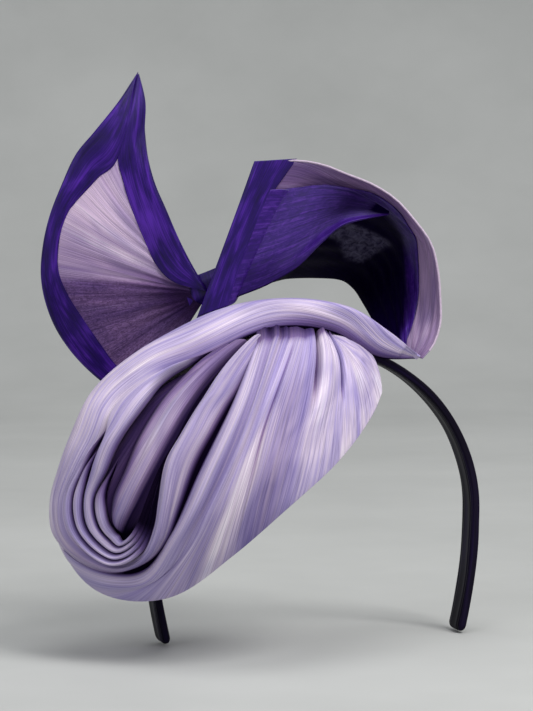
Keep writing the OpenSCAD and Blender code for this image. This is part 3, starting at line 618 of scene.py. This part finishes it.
def swirl_pleat(n):
    """Nested pleat n of the swirl, counted from the eye outwards."""
    end = [12.6, 15.9, 13.4, 13.9][n - 1]
    s, u = lattice(0.4 if n == 1 else 2.6, end, 330, 0.0, 1.0, 30)
    t = mix(value(PLEAT_LINES[n - 1], s), value(PLEAT_LINES[n], s), u)
    base = mix(curve(EYE, s), curve(FOLD_IN, s), t[..., None])
    shape = np.sin(math.pi * np.clip(u ** 0.75, 0.004, 0.996)) ** 0.6
    low = 0.6 + 1.15 * n
    tall = 2.6 + 0 * s
    if n == 2:
        low = low + 0.8 * smooth(11.5, 13, s)
        tall = tall + 2.6 * smooth(11.3, 13, s) - 3.0 * smooth(15.0, 15.9, s)
        shape = mix(shape, np.maximum(shape, 0.9 * smooth(0.2, 0.5, u)), flush(s))
    down = fall(6.0, 7.6, s)  # the pleats sink into the dark of the eye
    if n != 2:
        low = low - 1.5 * smooth(end - 1.5, end, s)
        tall = tall - 2.3 * smooth(end - 1.7, end, s)
    low = mix(low, 0.6, down)
    tall = mix(tall, 0.5, down)
    h = low + tall * shape + 0.15 * wander(s * 2, t * 20 + n, 11 + n)
    # Painted shade: near-black where the pleats sink into the eye, darker in the creases between pleats and
    # at their tucked ends.
    dark = np.maximum(0.98 * down, 0.8 * (1 - shape) ** 1.5 + 0.02)
    if n != 2:
        dark = dark + 0.75 * smooth(end - 2.2, end - 0.5, s)
    dark = dark - 0.16 * flush(s) + 0.8 * smooth(15.3, 15.8, s)
    return sheet(f"silk_swirl_pleat_{n}", on_block(base, h + 0.4), on_block(base, h), LILAC, None,
                 {"shade": np.clip(dark, 0, 1), "warm_tint_and_highlight": 0.4 * wander(s, u * 3, 40 + n)})


def inner_pleat():
    """Tapered pleat on the outer side of the eye; its cloth also lines the eye and the pocket."""
    s, u = lattice(0.0, 16.0, 330, -0.3, 1.6, 90)
    wide = np.maximum(steps([(0, 0.02)] + INNER_LINE, s), 0.02)
    t = np.where(u < 0, u, np.where(u < 1, u * wide, mix(wide, 0.97, (u - 1) / 0.6)))
    base = mix(curve(EYE, s), curve(FOLD_IN, s), t[..., None])
    x = np.clip(u, 0, 1)
    ridge = np.sin(math.pi * np.clip(x ** 0.72, 0.004, 0.996)) ** 0.6
    rib = 0.8 * bump(x, 0.72, 0.12) - 0.7 * bump(x, 0.5, 0.08)
    grow = smooth(9.0, 10.6, s)
    flat = 1.4 * smooth(0.0, 0.05, x) * fall(0.95, 1.0, x)
    h = 0.45 + grow * (flat + 4.4 * ridge + rib * smooth(10.5, 12, s))
    h = h + 0.12 * wander(s * 2, t * 18, 5)
    # Painted shade: only the ridge is lit; the cloth that lines the eye and the pocket is painted near-black.
    lit = np.clip(ridge, 0, 1) ** 0.8 * (1 - 0.6 * smooth(0.45, 0.95, x))
    dark = 1 - grow * lit * (0.76 - 0.24 * smooth(13, 15.5, s)) - 0.16 * grow * smooth(1.0, 1.1, u)
    return sheet("silk_inner_pleat", on_block(base, h + 0.35), on_block(base, h), LILAC, None,
                 {"shade": dark, "warm_tint_and_highlight": 0.5 + 0 * s})


def fold_point(s, t):
    """Point of the big fold: t runs from its inner crease (0) over the crest to its tucked back (3)."""
    lift = 3.0 + 1.2 * smooth(8, 10, s) + 3.0 * flush(s)
    inner = curve(FOLD_IN, s)
    m = mix(on_block(inner, lift), inner, smooth(16.6, 18.2, s)[..., None])
    o, b = curve(FOLD_OUT, s), curve(FOLD_BACK, s)
    on_form = smooth(8.0, 10.5, s)[..., None]
    o = mix(on_block(o, 1.9 + 0 * s), o, on_form)
    b = mix(on_block(b, 1.0 + 0 * s), b, on_form)
    along = curve(FOLD_OUT, s + 0.1) - curve(FOLD_OUT, s - 0.1)
    n = unit(np.cross(along, o - m))
    n = n * np.sign(np.sum(n * (mix(m, o, 0.5) - BLOCK_AT), -1, keepdims=True))
    lean = mix(0.33, 0.5, on_form)
    crest = mix(m, o, lean) + n * value(FOLD_H, s)[..., None]
    return across(np.stack([m, crest, o, b], -2), t)


def top_roll():
    """The big fold: face side of the swirl, round its bottom and up over the top as a roll."""
    s, t = lattice(0.0, 20.0, 520, 0.0, 3.0, 96)
    p = fold_point(s, t)
    n = unit(np.cross(np.gradient(p, axis=0), np.gradient(p, axis=1)))
    if np.sum(n[250, 30] * (p[250, 30] - BLOCK_AT)) < 0:
        n = -n
    ripple = 0.35 * wander(s * 1.2, t * 4, 21) + 0.25 * wander(s * 0.8, t * 9, 22)
    ripple = ripple * np.clip(t * 2, 0, 1) * np.clip((3 - t) * 2, 0, 1) * (1 - 0.6 * smooth(16, 18, s))
    p = p + n * ripple[..., None]
    face_side = fall(7.0, 9.0, s)
    # Painted shade: in the roll's inner crease, under the roll near the flange and on the flange's underside,
    # on the tucked back of the face side and round the swirl's bottom.
    dark = 0.85 * np.exp(-((t / 0.14) ** 2)) * (1 - flush(s))
    dark = dark + 0.3 * smooth(14.6, 15.6, s) * fall(0.3, 0.7, t)
    dark = dark + 0.34 * smooth(16.6, 18.0, s) * fall(0.6, 1.15, t)
    dark = dark + face_side * (0.9 * smooth(1.55, 2.0, t) + 0.15 * smooth(0.8, 1.4, t))
    dark = dark + 0.3 * bump(s, 8.5, 1.6) * (t < 2.4)
    tones = {"shade": np.clip(dark, 0, 1), "warm_tint_and_highlight": 0.5 * wander(s * 0.5, t * 2.2, 23)}
    return sheet("silk_top_roll", p, p - n * CLOTH_T, LILAC, None, tones)


# ---------- inside of the base, and the small parts ----------
def inside_rim(s, d, h):
    """Point d inside the rim at rim position s, h off the form."""
    p = ring(RIM, s)
    return on_block(p + unit(BASE_MID - p) * np.asarray(d, float)[..., None], h)


def rim_loop(name, profile, thick, material, pucker):
    """Strip that runs all round the rim; profile lists (distance inside the rim, height)."""
    k = np.linspace(0, len(profile) - 1, 8 * (len(profile) - 1) + 1)
    prof = curve(profile, k)
    s, _ = np.meshgrid(np.linspace(0, len(RIM), 481)[:-1], k, indexing="ij")
    d = np.broadcast_to(prof[None, :, 0], s.shape)
    h = np.broadcast_to(prof[None, :, 1], s.shape) + pucker * wander(s * 9, d * 0.8, 51)
    slope = unit(np.gradient(prof, axis=0))
    outer = inside_rim(s, d, h)
    inner = inside_rim(s, d - thick * slope[None, :, 1], h + thick * slope[None, :, 0])
    return sheet(name, outer, inner, material, None, None, True)


def rim_binding():
    """Silk strip folded over the rim, from the outer face to the lining."""
    low = -SHELL_T - 2.9
    profile = [(6, 1.0), (3, 1.15), (0.4, 1.05), (-0.8, 0.2), (-0.9, low / 2), (-0.7, low + 0.6),
               (0.6, low - 0.1), (3, low - 0.1), (6, low)]
    return rim_loop("silk_rim_binding", profile, 0.35, LILAC, 0.08)


def headsize_ribbon():
    """Ribbed ribbon round the inside of the rim."""
    edge, middle = -SHELL_T - 1.65, -SHELL_T - 1.6
    profile = [(15, edge), (11, middle), (7, middle), (3.2, edge)]
    return rim_loop("petersham_headsize_ribbon", profile, 0.4, PETERSHAM, 0.1)


def lining():
    """Cloth lining with small tucks fanning in from the rim."""
    inset = 3.6
    u, t = lattice(0, 1, 160, 0, 1, 90)
    a, b = ring(RIM, mix(6.7, -0.3, u)), ring(RIM, mix(7.3, 15.3, u))
    p = mix(a + unit(BASE_MID - a) * inset, b + unit(BASE_MID - b) * inset, t[..., None])
    near_rim = fall(0.0, 0.3, np.minimum(np.minimum(t, 1 - t), np.minimum(u, 1 - u)))
    tucks = near_rim * np.abs(np.sin(u * 60 + 3 * t)) ** 3 * 0.22 + 0.12 * wander(u * 9, t * 9, 53)
    h = -SHELL_T - 1.35 - tucks
    return sheet("cloth_lining", on_block(p, h + 0.2), on_block(p, h), LINING)


def band_pad():
    """Felt pad with rounded edges, between the band's top and the underside of the base."""
    i, j = lattice(0, 1, 60, 0, 1, 40)
    flat = np.stack([mix(-20, 4, i), mix(-4, 5, j), 84 + 0 * i], -1)
    roof = on_block(flat, -SHELL_T - 3.45 + 0 * i)
    above_band = np.sqrt((BAND_R + 0.2) ** 2 - (to_row(roof)[..., 0] / MM) ** 2)
    floor = np.stack([roof[..., 0], roof[..., 1], above_band], -1)
    full = np.clip((1 - np.abs(2 * i - 1) ** 9) * (1 - np.abs(2 * j - 1) ** 7), 0.06, 1) ** 0.45
    mid = (roof + floor) / 2
    rough = 0.12 * wander(i * 30, j * 20, 55)[..., None] * np.array([0, 0, 1.0])
    top, under = mix(mid, roof, full[..., None]), mix(mid, floor, full[..., None])
    return sheet("felt_band_pad", top - np.abs(rough), under, FELT)


def capped(rows, cols):
    """Faces of a tube of rows rings with cols points each, closed by a face at either end."""
    ends = [list(range(cols)), [(rows - 1) * cols + k for k in reversed(range(cols))]]
    return quads(rows, cols, False, True).tolist() + ends


def tube(path, r):
    """Points and faces of a thin round tube along a path."""
    sides = 8
    t = unit(np.gradient(path, axis=0))
    a = unit(np.cross(t, [0.31, 0.87, 0.38]))
    b = np.cross(t, a)
    around = (np.arange(sides) * 2 * math.pi / sides)[None, :, None]
    g = path[:, None] + r * (a[:, None] * np.cos(around) + b[:, None] * np.sin(around))
    return g.reshape(-1, 3), capped(len(path), sides)


def band_stitches():
    """Two-strand tacking threads beside the band, front and back."""
    strand_r, twist_r = 0.15, 0.16
    verts, faces = [], []
    s = np.linspace(0, 1, 30)
    r = BAND_R - BAND_T + 0.35 + 3.3 * s
    for angle in range(-13, 0, 4):
        a = math.radians(angle)
        for side in (-1, 1):
            for strand in (0, math.pi):
                x = twist_r * np.cos(9 * s + strand)
                y = side * (BAND_W / 2 + 0.55) + twist_r * np.sin(9 * s + strand)
                path = np.stack([r * math.sin(a) + x * math.cos(a), y, r * math.cos(a) - x * math.sin(a)], -1)
                v, f = tube(path, strand_r)
                first = sum(len(q) for q in verts)
                verts.append(v)
                faces.extend([k + first for k in face] for face in f)
    return link("thread_band_stitches", np.concatenate(verts) * MM, faces, THREAD)


TAB_AT = np.array([-46, -8, 90])
TAB_TILT = math.radians(-14)


def trim_tab():
    """Small round stiff pad with softened edges, cut a little unevenly."""
    half = [(0.4, 0.5), (3.6, 0.5), (4.25, 0.38), (4.45, 0.15)]
    profile = half + [(r, -z) for r, z in reversed(half)]
    sides = 64
    a = np.arange(sides) * 2 * math.pi / sides
    r, z = np.array(profile).T[..., None]
    edge = r * (1 + 0.012 * np.sin(5 * a) + 0.008 * np.sin(13 * a))
    g = tilted(np.stack([edge * np.cos(a), edge * np.sin(a), z + 0 * edge], -1), -TAB_TILT) + TAB_AT
    return link("buckram_trim_tab", to_row(g.reshape(-1, 3)), capped(len(profile), sides), FELT)


# ---------- leaf ----------
LEAF_EDGE = [[-77, -4, 193], [-85, -10, 180], [-95, -14, 167], [-103, -17, 157], [-109, -20, 144],
             [-114, -22, 131], [-117, -22, 118], [-118, -20, 105], [-116, -14, 92], [-111, -6, 79],
             [-102, 2, 66], [-90, 8, 55], [-76, 10, 48]]
LEAF_SIDE = [[-47, -8, 97], [-54, -8, 109], [-60, -9, 121], [-65, -10, 133], [-70, -10, 145],
             [-73, -9, 157], [-74, -7, 169], [-74, -6, 181], [-77, -4, 193]]
KNOT_AT = np.array([-47.0, -8.0, 97.0])
# Width of the edge binding from the tip round to the hidden corner
EDGE_WIDTHS = [(0.0, 0.5), (0.138, 16.5), (0.25, 14.0), (0.36, 7.8), (0.42, 6.2), (0.49, 6.2), (0.56, 7.0),
               (0.63, 9.6), (0.71, 12.0), (0.8, 12.2), (0.9, 9.6), (1.0, 9.0)]
# Where the side binding ends inside the leaf: place along the side, then u and v
SIDE_INSIDE = [(0.015, 0.25, 0.03), (0.05, 0.42, 0.07), (0.096, 0.46, 0.11), (0.15, 0.47, 0.17),
               (0.218, 0.427, 0.248), (0.287, 0.365, 0.317), (0.41, 0.268, 0.41), (0.52, 0.196, 0.52),
               (0.665, 0.158, 0.665), (0.82, 0.138, 0.82), (0.93, 0.054, 0.93), (1.0, 0.003, 1.0)]


def leaf_mid(u, v):
    """Middle surface of the leaf: u runs along its outer edge from the tip, v from the knot outwards."""
    e = curve(LEAF_EDGE, u * (len(LEAF_EDGE) - 1))
    straight = mix(KNOT_AT, np.array(LEAF_EDGE[0], float), v[..., None])
    side = curve(LEAF_SIDE, v * (len(LEAF_SIDE) - 1)) - straight
    belly = (np.sin(math.pi * v) * np.sin(math.pi * u))[..., None]
    return mix(KNOT_AT, e, v[..., None]) + side * ((1 - u) ** 2)[..., None] + belly * np.array([0, 9, 0])


def leaf(u, v, h):
    """Point of the leaf h off its middle surface."""
    d = 0.01
    n = unit(np.cross(leaf_mid(np.minimum(u + d, 1), v) - leaf_mid(np.maximum(u - d, 0), v),
                      leaf_mid(u, v + d) - leaf_mid(u, v - d)))
    return leaf_mid(u, v) + n * np.asarray(h)[..., None]


def leaf_len(u):
    """Distance from the knot to the outer edge."""
    return np.linalg.norm(curve(LEAF_EDGE, u * (len(LEAF_EDGE) - 1)) - KNOT_AT, axis=-1)


def leaf_layer(name, h0, h1, material, grain):
    """Silk layer fanning out from the knot, darker and grainier where it turns from the light."""
    u, v = lattice(0.01, 0.99, 220, 0.1, 0.975, 90)
    ripple = 0.35 * np.sin(u * 95 + 2 * np.sin(u * 23)) * (1 - v) * smooth(0.1, 0.35, v)
    front, back = leaf(u, v, ripple + h1), leaf(u, v, ripple + h0)
    uv = np.stack([v * 75, u * 150], -1) * MM
    # Painted shade: where the leaf turns down from the light, along a fold line and near the knot.
    low = smooth(0.56, 0.63, u + 0.06 * (1 - v))
    dark = 0.6 * low + 0.35 * bump(u, 0.5, 0.03) * (1 - v) + 0.3 * fall(0.1, 0.5, v)
    dark = dark + 0.22 * smooth(0.3, 0.56, u) * (1 - low)
    warm_tint_and_highlight = 0.5 * bump(u, 0.45, 0.06) - 0.4 * bump(u, 0.2, 0.1)
    tones = {"shade": np.clip(dark, 0, 1), "warm_tint_and_highlight": warm_tint_and_highlight, "moire_and_backlight": grain * low}
    return sheet(name, front, back, material, uv, tones)


BIND_TOP = [(1.0, 0.75), (0.8, 1.1), (0.5, 1.25), (0.2, 1.2), (0.05, 1.0), (-0.03, 0.5)]
BIND_PROFILE = BIND_TOP + [(-0.05, 0.0)] + [(d, -h) for d, h in reversed(BIND_TOP)]


def bind_strip(name, rows_s, to_point, lit=None):
    """Satin strip folded over an edge; to_point places (along, share of its width, height)."""
    k = np.linspace(0, len(BIND_PROFILE) - 1, 49)
    prof = curve(BIND_PROFILE, k)
    s, _ = np.meshgrid(rows_s, k, indexing="ij")
    d = np.broadcast_to(prof[None, :, 0], s.shape)
    h = np.broadcast_to(prof[None, :, 1], s.shape)
    shrink = 0.72
    outer = to_point(s, d, h)
    inner = to_point(s, np.maximum(d, -0.02) * 0.98 + 0.02, h * shrink)
    # The lit function gives painted highlight and shade per point along the strip.
    tones = {"warm_tint_and_highlight": lit(s, d)} if lit else None
    return sheet(name, outer, inner, VIOLET_SATIN, None, tones)


def leaf_edge_binding():
    def at(s, d, h):
        wide = steps(EDGE_WIDTHS, s)
        return leaf(s, 1 - d * wide / leaf_len(s), h * np.clip(0.35 + wide / 8, 0, 1))
    return bind_strip("satin_leaf_edge_binding", np.linspace(0.004, 1, 240), at)


def leaf_side_binding():
    u_in = [(place, u) for place, u, _ in SIDE_INSIDE]
    v_in = [(place, v) for place, _, v in SIDE_INSIDE]

    def at(s, d, h):
        twist = 1 + 1.6 * bump(s, 0.17, 0.07) * d
        return leaf(np.maximum(steps(u_in, s) * d, 0) + 0.003, mix(s, steps(v_in, s), d), h * twist)

    # Painted highlight midway along the side binding, and painted shade at its start by the knot.
    def lit(s, d):
        return 1.3 * bump(s, 0.42, 0.16) * smooth(0.1, 0.5, d) - 0.8 * fall(0.04, 0.12, s)
    return bind_strip("satin_leaf_side_binding", np.linspace(0.015, 0.985, 200), at, lit)


# ---------- loop ----------
LOOP_FRONT = [[-26, -12, 154], [-9, -13, 155], [3, -16, 153], [13, -19, 149], [24, -22, 144.5],
              [34, -24, 138], [42, -25, 129], [49, -25, 119], [52, -25, 107], [53, -25, 95], [53, -26, 85],
              [50, -28, 76], [45, -29, 70]]
LOOP_BACK = [[-51, -15, 87], [-37, -13, 92], [-33, 2, 97], [-25, 10, 99], [-18, 19, 101], [-12, 26, 102],
             [0, 34, 102], [11, 34, 101], [17, 28, 97], [21, 16, 91], [25, 2, 84], [29, -12, 77],
             [35, -20, 72]]


def loop_mid(u, v):
    """Middle surface of the loop: u runs round it from the bound end, v from its front edge to its back."""
    n = len(LOOP_FRONT) - 1
    swell = (np.sin(math.pi * v) * np.sin(math.pi * np.clip(u, 0, 1)))[..., None]
    return mix(curve(LOOP_FRONT, u * n), curve(LOOP_BACK, u * n), v[..., None]) + swell * np.array([5, 0, 9])


def loop_at(u, v, h):
    """Point of the loop h off its middle surface."""
    d = 0.01
    n = unit(np.cross(loop_mid(u, v + d) - loop_mid(u, v - d),
                      loop_mid(np.minimum(u + d, 1), v) - loop_mid(np.maximum(u - d, 0), v)))
    return loop_mid(u, v) + n * np.asarray(h)[..., None]


# Where the violet lining starts behind the front edge: place round the loop, then v
LINING_STARTS = [(0.0, 0.2), (0.07, 0.22), (0.14, 0.25), (0.22, 0.18), (0.31, 0.155), (0.37, 0.12),
                 (0.485, 0.13), (0.61, 0.267), (0.76, 0.371), (0.86, 0.463), (0.94, 0.589), (1.0, 0.66)]


def lining_start(u):
    return steps(LINING_STARTS, u)


def edge_start(u):
    return 0.01 + 0 * u


def outer_dark(u, v):
    """The outer silk shows its shaded inner face round the top and catches the light on its edge."""
    return 0.58 - 0.22 * smooth(0.35, 0.7, u) + 0.1 * smooth(0.9, 1.0, u) - 0.25 * bump(v, 0.0, 0.02)


def lining_dark(u, v):
    """The lining sinks into the dark behind the front fold, with a lit strip near the lower end."""
    edge = v - lining_start(u)
    deep = (0.35 * smooth(0.0, 0.05, edge) + 0.6 * smooth(0.05, 0.2, edge)) * smooth(0.12, 0.24, u)
    lit = 0.75 * smooth(0.82, 0.93, u) * fall(0.05, 0.16, edge)
    lit = lit + 0.35 * bump(u, 0.66, 0.1) * bump(edge, 0.12, 0.05)
    return np.clip(deep - lit, 0, 0.96)


def lining_window(u, v):
    """Where light comes faintly through the silk at the back of the loop."""
    low = 0.7 + 0.14 * smooth(0.42, 0.54, u)
    place = smooth(0.34, 0.4, u) * fall(0.56, 0.6, u)
    return 0.95 * place * smooth(0.5, 0.55, v) * fall(low - 0.05, low, v)


def loop_layer(name, h0, h1, v0, material, dark, window=None):
    """Silk layer of the loop between heights h0 and h1, from v0 back."""
    u, t = lattice(0.03, 0.995, 260, 0.0, 1.0, 90)
    v = mix(v0(u), 0.99, t)
    fan = 0.3 * wander(v * 26, u * 2.5, 31) + 0.22 * np.sin(v * 48 + 7 * u + 2 * np.sin(v * 9))
    fan = fan * smooth(0.05, 0.3, u) * fall(0.85, 1.0, u) * smooth(0, 0.06, v)
    uv = np.stack([u * 190, v * 60 - u * 35], -1) * MM
    tones = {"shade": dark(u, v), "warm_tint_and_highlight": 0.6 + 0 * u, "moire_and_backlight": window(u, v) if window else 0 * u}
    return sheet(name, loop_at(u, v, fan + h1), loop_at(u, v, fan + h0), material, uv, tones)


# Top and lower edges of the front fold, from behind the end binding to its point
FOLD_TOP = [[-24, -11, 141], [-16, -12.4, 142], [-8, -14, 143], [2, -17.5, 144], [13, -20.5, 142.5],
            [22, -22.5, 138.5], [31, -24, 133]]
FOLD_LOW = [[-43, -12.4, 92], [-33, -13, 96], [-21, -15.5, 101], [-8, -19, 109], [2, -22.5, 119],
            [12, -25, 127], [31, -25, 131.5]]


def loop_front_fold():
    """Violet fold inside the front edge, with a rolled lower edge."""
    u, v = lattice(0, 1, 120, 0, 1, 60)
    n = len(FOLD_TOP) - 1
    g = mix(curve(FOLD_TOP, u * n), curve(FOLD_LOW, u * n), v[..., None])
    g = g + np.array([0, -2.5, 0]) * (np.sin(math.pi * v) * (1 - u) * smooth(0.1, 0.4, u))[..., None]
    roll = 3.2 * bump(v, 0.9, 0.13) * smooth(0.25, 0.6, u)
    roll = roll + 0.5 * wander(v * 5, u * 3, 35) * smooth(0.1, 0.3, u)
    g = g + np.array([0, -1, 0]) * roll[..., None]
    # Painted shade: over the top half towards the point, near the end binding, along the rolled edge's
    # underside and at the point.
    dark = 0.85 * fall(0.35, 0.8, v) * smooth(0.42, 0.75, u)
    dark = dark + 0.35 * smooth(0.6, 0.85, v) * fall(0.3, 0.6, u)
    dark = dark + 0.6 * smooth(0.97, 1.0, v) + 0.8 * smooth(0.86, 1.0, u)
    uv = np.stack([u * 70, v * 45], -1) * MM
    back = g + np.array([0, CLOTH_T, 0])
    return sheet("silk_loop_front_fold", g, back, VIOLET_SILK, uv, {"shade": np.clip(dark, 0, 1)})


END_WIDTHS = [(0, 17.5), (0.1, 16), (0.25, 13.5), (0.7, 12), (1.05, 13.5)]


def loop_end_binding():
    """Straight satin strip over the loop's starting end, just past its front corner."""
    def at(v, d, h):
        none = np.zeros(v.shape)
        wide = steps(END_WIDTHS, np.clip(v, 0, 1.05))
        start = loop_mid(none, np.clip(v, 0, 1))
        ahead = unit(loop_mid(none + 0.08, np.clip(v, 0, 1)) - start)
        ahead = unit(ahead * np.array([1, 0.15, 1]))
        down = unit(loop_mid(none, np.clip(v + 0.02, 0, 1)) - start + 1e-6)
        out = unit(np.cross(ahead, down))
        out = out * np.sign(-out[..., 1:2])
        slide = 60 * np.minimum(v, 0)[..., None] * unit(curve(LOOP_BACK, none) - curve(LOOP_FRONT, none))
        return start + slide + ahead * (d * wide)[..., None] + out * (h * 0.8)[..., None]
    return bind_strip("satin_loop_end_binding", np.linspace(-0.005, 1, 120), at)


KNOT_LINE = np.array([[-57.0, -4.2, 98], [-49, -4.6, 100.0], [-40, -7.0, 103.6]])


def trim_knot():
    """Satin wrapping that ties the roots of the leaf and the loop together."""
    rows, sides = 60, 72
    around = np.linspace(0, 2 * math.pi, sides + 1)[:-1]
    u, a = np.meshgrid(np.linspace(0, 1, rows), around, indexing="ij")
    mid = curve(KNOT_LINE, u * 2)
    fold = 0.16 * np.sin(a * 7 + 3 * u)
    up = (6.4 + fold) * np.sin(a) - 1.0
    deep = (1.9 + fold) * np.cos(a)
    g = mid + up[..., None] * np.array([-0.3, 0, 0.95]) + deep[..., None] * np.array([0, 1, 0])
    uv = np.stack([a * 6, u * 16], -1) * MM
    return link("satin_trim_knot", to_row(g.reshape(-1, 3)), capped(rows, sides), VIOLET_SATIN, uv)


# ---------- headband ----------
MID_R = BAND_R - BAND_T / 2
QUARTER = MID_R * math.pi / 2
ARM_DROP = 54.0
ARM_R = 220.0
TIP = 3.0


def band_line(q):
    """Middle line of the left half, q from the crown, with its outward direction."""
    a = np.clip(q, 0, QUARTER) / MID_R
    arc = np.stack([MID_R * np.sin(a), 0 * a, MID_R * np.cos(a)], -1)
    out = np.stack([np.sin(a), 0 * a, np.cos(a)], -1)
    b = np.clip(q - QUARTER, 0, None) / ARM_R
    low = np.stack([MID_R - ARM_R + ARM_R * np.cos(b), 0 * b, -ARM_R * np.sin(b)], -1)
    low_out = np.stack([np.cos(b), 0 * b, -np.sin(b)], -1)
    past = (q > QUARTER)[..., None]
    return np.where(past, low, arc), np.where(past, low_out, out)


def band_half(side):
    """Pleated satin sleeve over one half of the band, with its end folded in at the tip."""
    straight = QUARTER + ARM_R * math.asin(ARM_DROP / ARM_R) - TIP
    rounding = np.sin(np.linspace(0, 0.5 * math.pi, 16)[1:])
    q = np.concatenate([np.linspace(0, straight, 260), straight + TIP * rounding])
    q, a = np.meshgrid(q, np.linspace(0, 2 * math.pi, 145)[:-1], indexing="ij")
    close = np.sqrt(np.clip(1 - np.clip((q - straight) / TIP, 0, 1) ** 2, 0.002, 1))
    c, n = np.cos(a), np.sin(a)
    squareness = 0.42
    wide = BAND_W / 2 * np.sign(c) * np.abs(c) ** squareness
    thick = BAND_T / 2 * np.sign(n) * np.abs(n) ** squareness
    pleat_phase = c * 8.84 + 0.5 * np.sin(q / 21 + side) + 0.3 * wander(q / 30, a, 60 + side)
    pleat = 0.22 * np.abs(np.sin(pleat_phase))
    pleat = pleat + 0.10 * np.sin(q / 5.5 + 3 * np.sin(a) + 1.5 * wander(q / 12, a * 2, 66 + side))
    mid, out = band_line(q)
    g = mid + out * (thick * (0.25 + 0.75 * close) + pleat * n * close - 0.12 * n)[..., None]
    g[..., 1] += (wide + 0.12 * c * pleat) * (0.55 + 0.45 * close)
    g = g * np.array([side, 1, 1])
    rows, cols = q.shape
    faces = [face[::side] for face in capped(rows, cols)]
    uv = np.stack([q, a * 5], -1) * MM
    name = "left" if side > 0 else "right"
    obj = link(f"satin_{name}_band_half", g.reshape(-1, 3) * MM, faces, BAND_SATIN, uv)
    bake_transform(obj)
    return obj


def carry(obj, node):
    """The piece rides on the crown and stands for one CAD node."""
    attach(obj, "crown")
    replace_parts(obj, node)


for number in (1, 2, 3, 4):
    carry(swirl_pleat(number), f"swirl_pleat_{number}")
carry(leaf_layer("silk_leaf_panel", -0.5, -0.1, MAUVE, 1), "leaf_panel")
carry(leaf_layer("silk_leaf_backing", 0.1, 0.5, VIOLET_SILK, 0), "leaf_backing")
carry(loop_layer("silk_loop_outer", -0.55, -0.15, edge_start, MAUVE, outer_dark), "loop_outer")
carry(loop_layer("silk_loop_lining", 0.15, 0.55, lining_start, VIOLET_SILK, lining_dark, lining_window),
      "loop_lining")
for piece in (front_panel, inner_pleat, top_roll, leaf_edge_binding, leaf_side_binding, loop_front_fold,
              loop_end_binding, trim_knot, rim_binding, headsize_ribbon, lining, band_pad, band_stitches,
              trim_tab):
    carry(piece(), piece.__name__)
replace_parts(band_half(1), "crown_sleeve", "left_sleeve", "left_tip_cap")
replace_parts(band_half(-1), "crown_sleeve", "right_sleeve", "right_tip_cap")

NODE_LOOKS = {
    "crown_core": CORE, "left_arm_core": CORE, "right_arm_core": CORE, "foundation": BUCKRAM,
    "foundation_wire": WIRE, "leaf_wire": VIOLET_WIRE, "loop_wire": MAUVE_WIRE,
}
for node_name, look in NODE_LOOKS.items():
    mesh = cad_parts[node_name].data
    mesh.materials.clear()
    mesh.materials.append(look)


# ---------- studio ----------
def studio():
    """Seamless pale floor that curves up into a backdrop."""
    floor_z = cad_box[0].z - 0.0005
    turn = np.linspace(0, math.pi / 2, 40)
    near, far, bend = -2.5, 1.1, 0.9
    y = np.concatenate([[near], far + bend * np.sin(turn), [far + bend]])
    z = np.concatenate([[0], bend * (1 - np.cos(turn)), [4.0]]) + floor_z
    x = np.linspace(-4, 4, 9)
    yy, xx = np.meshgrid(y, x, indexing="ij")
    zz = np.broadcast_to(z[:, None], xx.shape)
    g = to_row(np.stack([xx, yy, zz], -1) / MM)
    pale = Nodes("floor_pale")
    coord = pale.add("ShaderNodeTexCoord").outputs["Object"]
    cloud = pale.noise(coord, 5, 4, 0.6)
    colour = pale.ramp(cloud, [(0.3, (0.43, 0.44, 0.43)), (0.7, (0.49, 0.50, 0.49))])
    pale.set(Base_Color=colour, Roughness=0.85)
    link("floor", g.reshape(-1, 3), quads(len(y), len(x))[:, ::-1], pale.mat)
    world = bpy.data.worlds.new("studio")
    bpy.context.scene.world = world
    world.use_nodes = True
    background = world.node_tree.nodes["Background"]
    background.inputs["Color"].default_value = (0.75, 0.76, 0.78, 1)
    background.inputs["Strength"].default_value = 0.5


def towards(azimuth, elevation):
    """Direction in degrees, round from straight ahead to the wearer's left and up."""
    a, e = math.radians(azimuth), math.radians(elevation)
    return Vector((math.sin(a) * math.cos(e), -math.cos(a) * math.cos(e), math.sin(e)))


def lamp(name, azimuth, elevation, distance, size, power, colour=(1, 1, 1)):
    """Square soft light aimed at the headpiece."""
    aim = Vector((-0.02, -0.02, 0.07))
    where = aim + distance * towards(azimuth, elevation)
    data = bpy.data.lights.new(name, "AREA")
    data.size = size
    data.energy = power
    data.color = colour
    obj = place(name, data)
    obj.location = where
    obj.rotation_euler = (aim - where).to_track_quat("-Z", "Y").to_euler()


def camera():
    """Long lens from the wearer's right and slightly above, the angle that the trims face."""
    aim = Vector((-0.0180, 0.0102, 0.0691))
    back = towards(-15, 4)
    data = bpy.data.cameras.new("camera")
    data.lens = 150
    data.sensor_width = 36
    data.clip_start, data.clip_end = 0.05, 50
    obj = place("camera", data)
    obj.location = aim + back * 1.3
    obj.rotation_mode = "QUATERNION"
    obj.rotation_quaternion = (-back).to_track_quat("-Z", "Y")
    bpy.context.scene.camera = obj


studio()
lamp("key", 28, 48, 1.5, 0.6, 16.5, (1.0, 0.99, 0.98))
lamp("side", -55, 32, 1.9, 1.2, 6.5, (0.97, 0.98, 1.0))
lamp("top", -20, 78, 1.6, 0.8, 8)
lamp("rim", 165, 35, 1.8, 1.0, 4)
camera()
bpy.context.scene.view_settings.view_transform = "Standard"
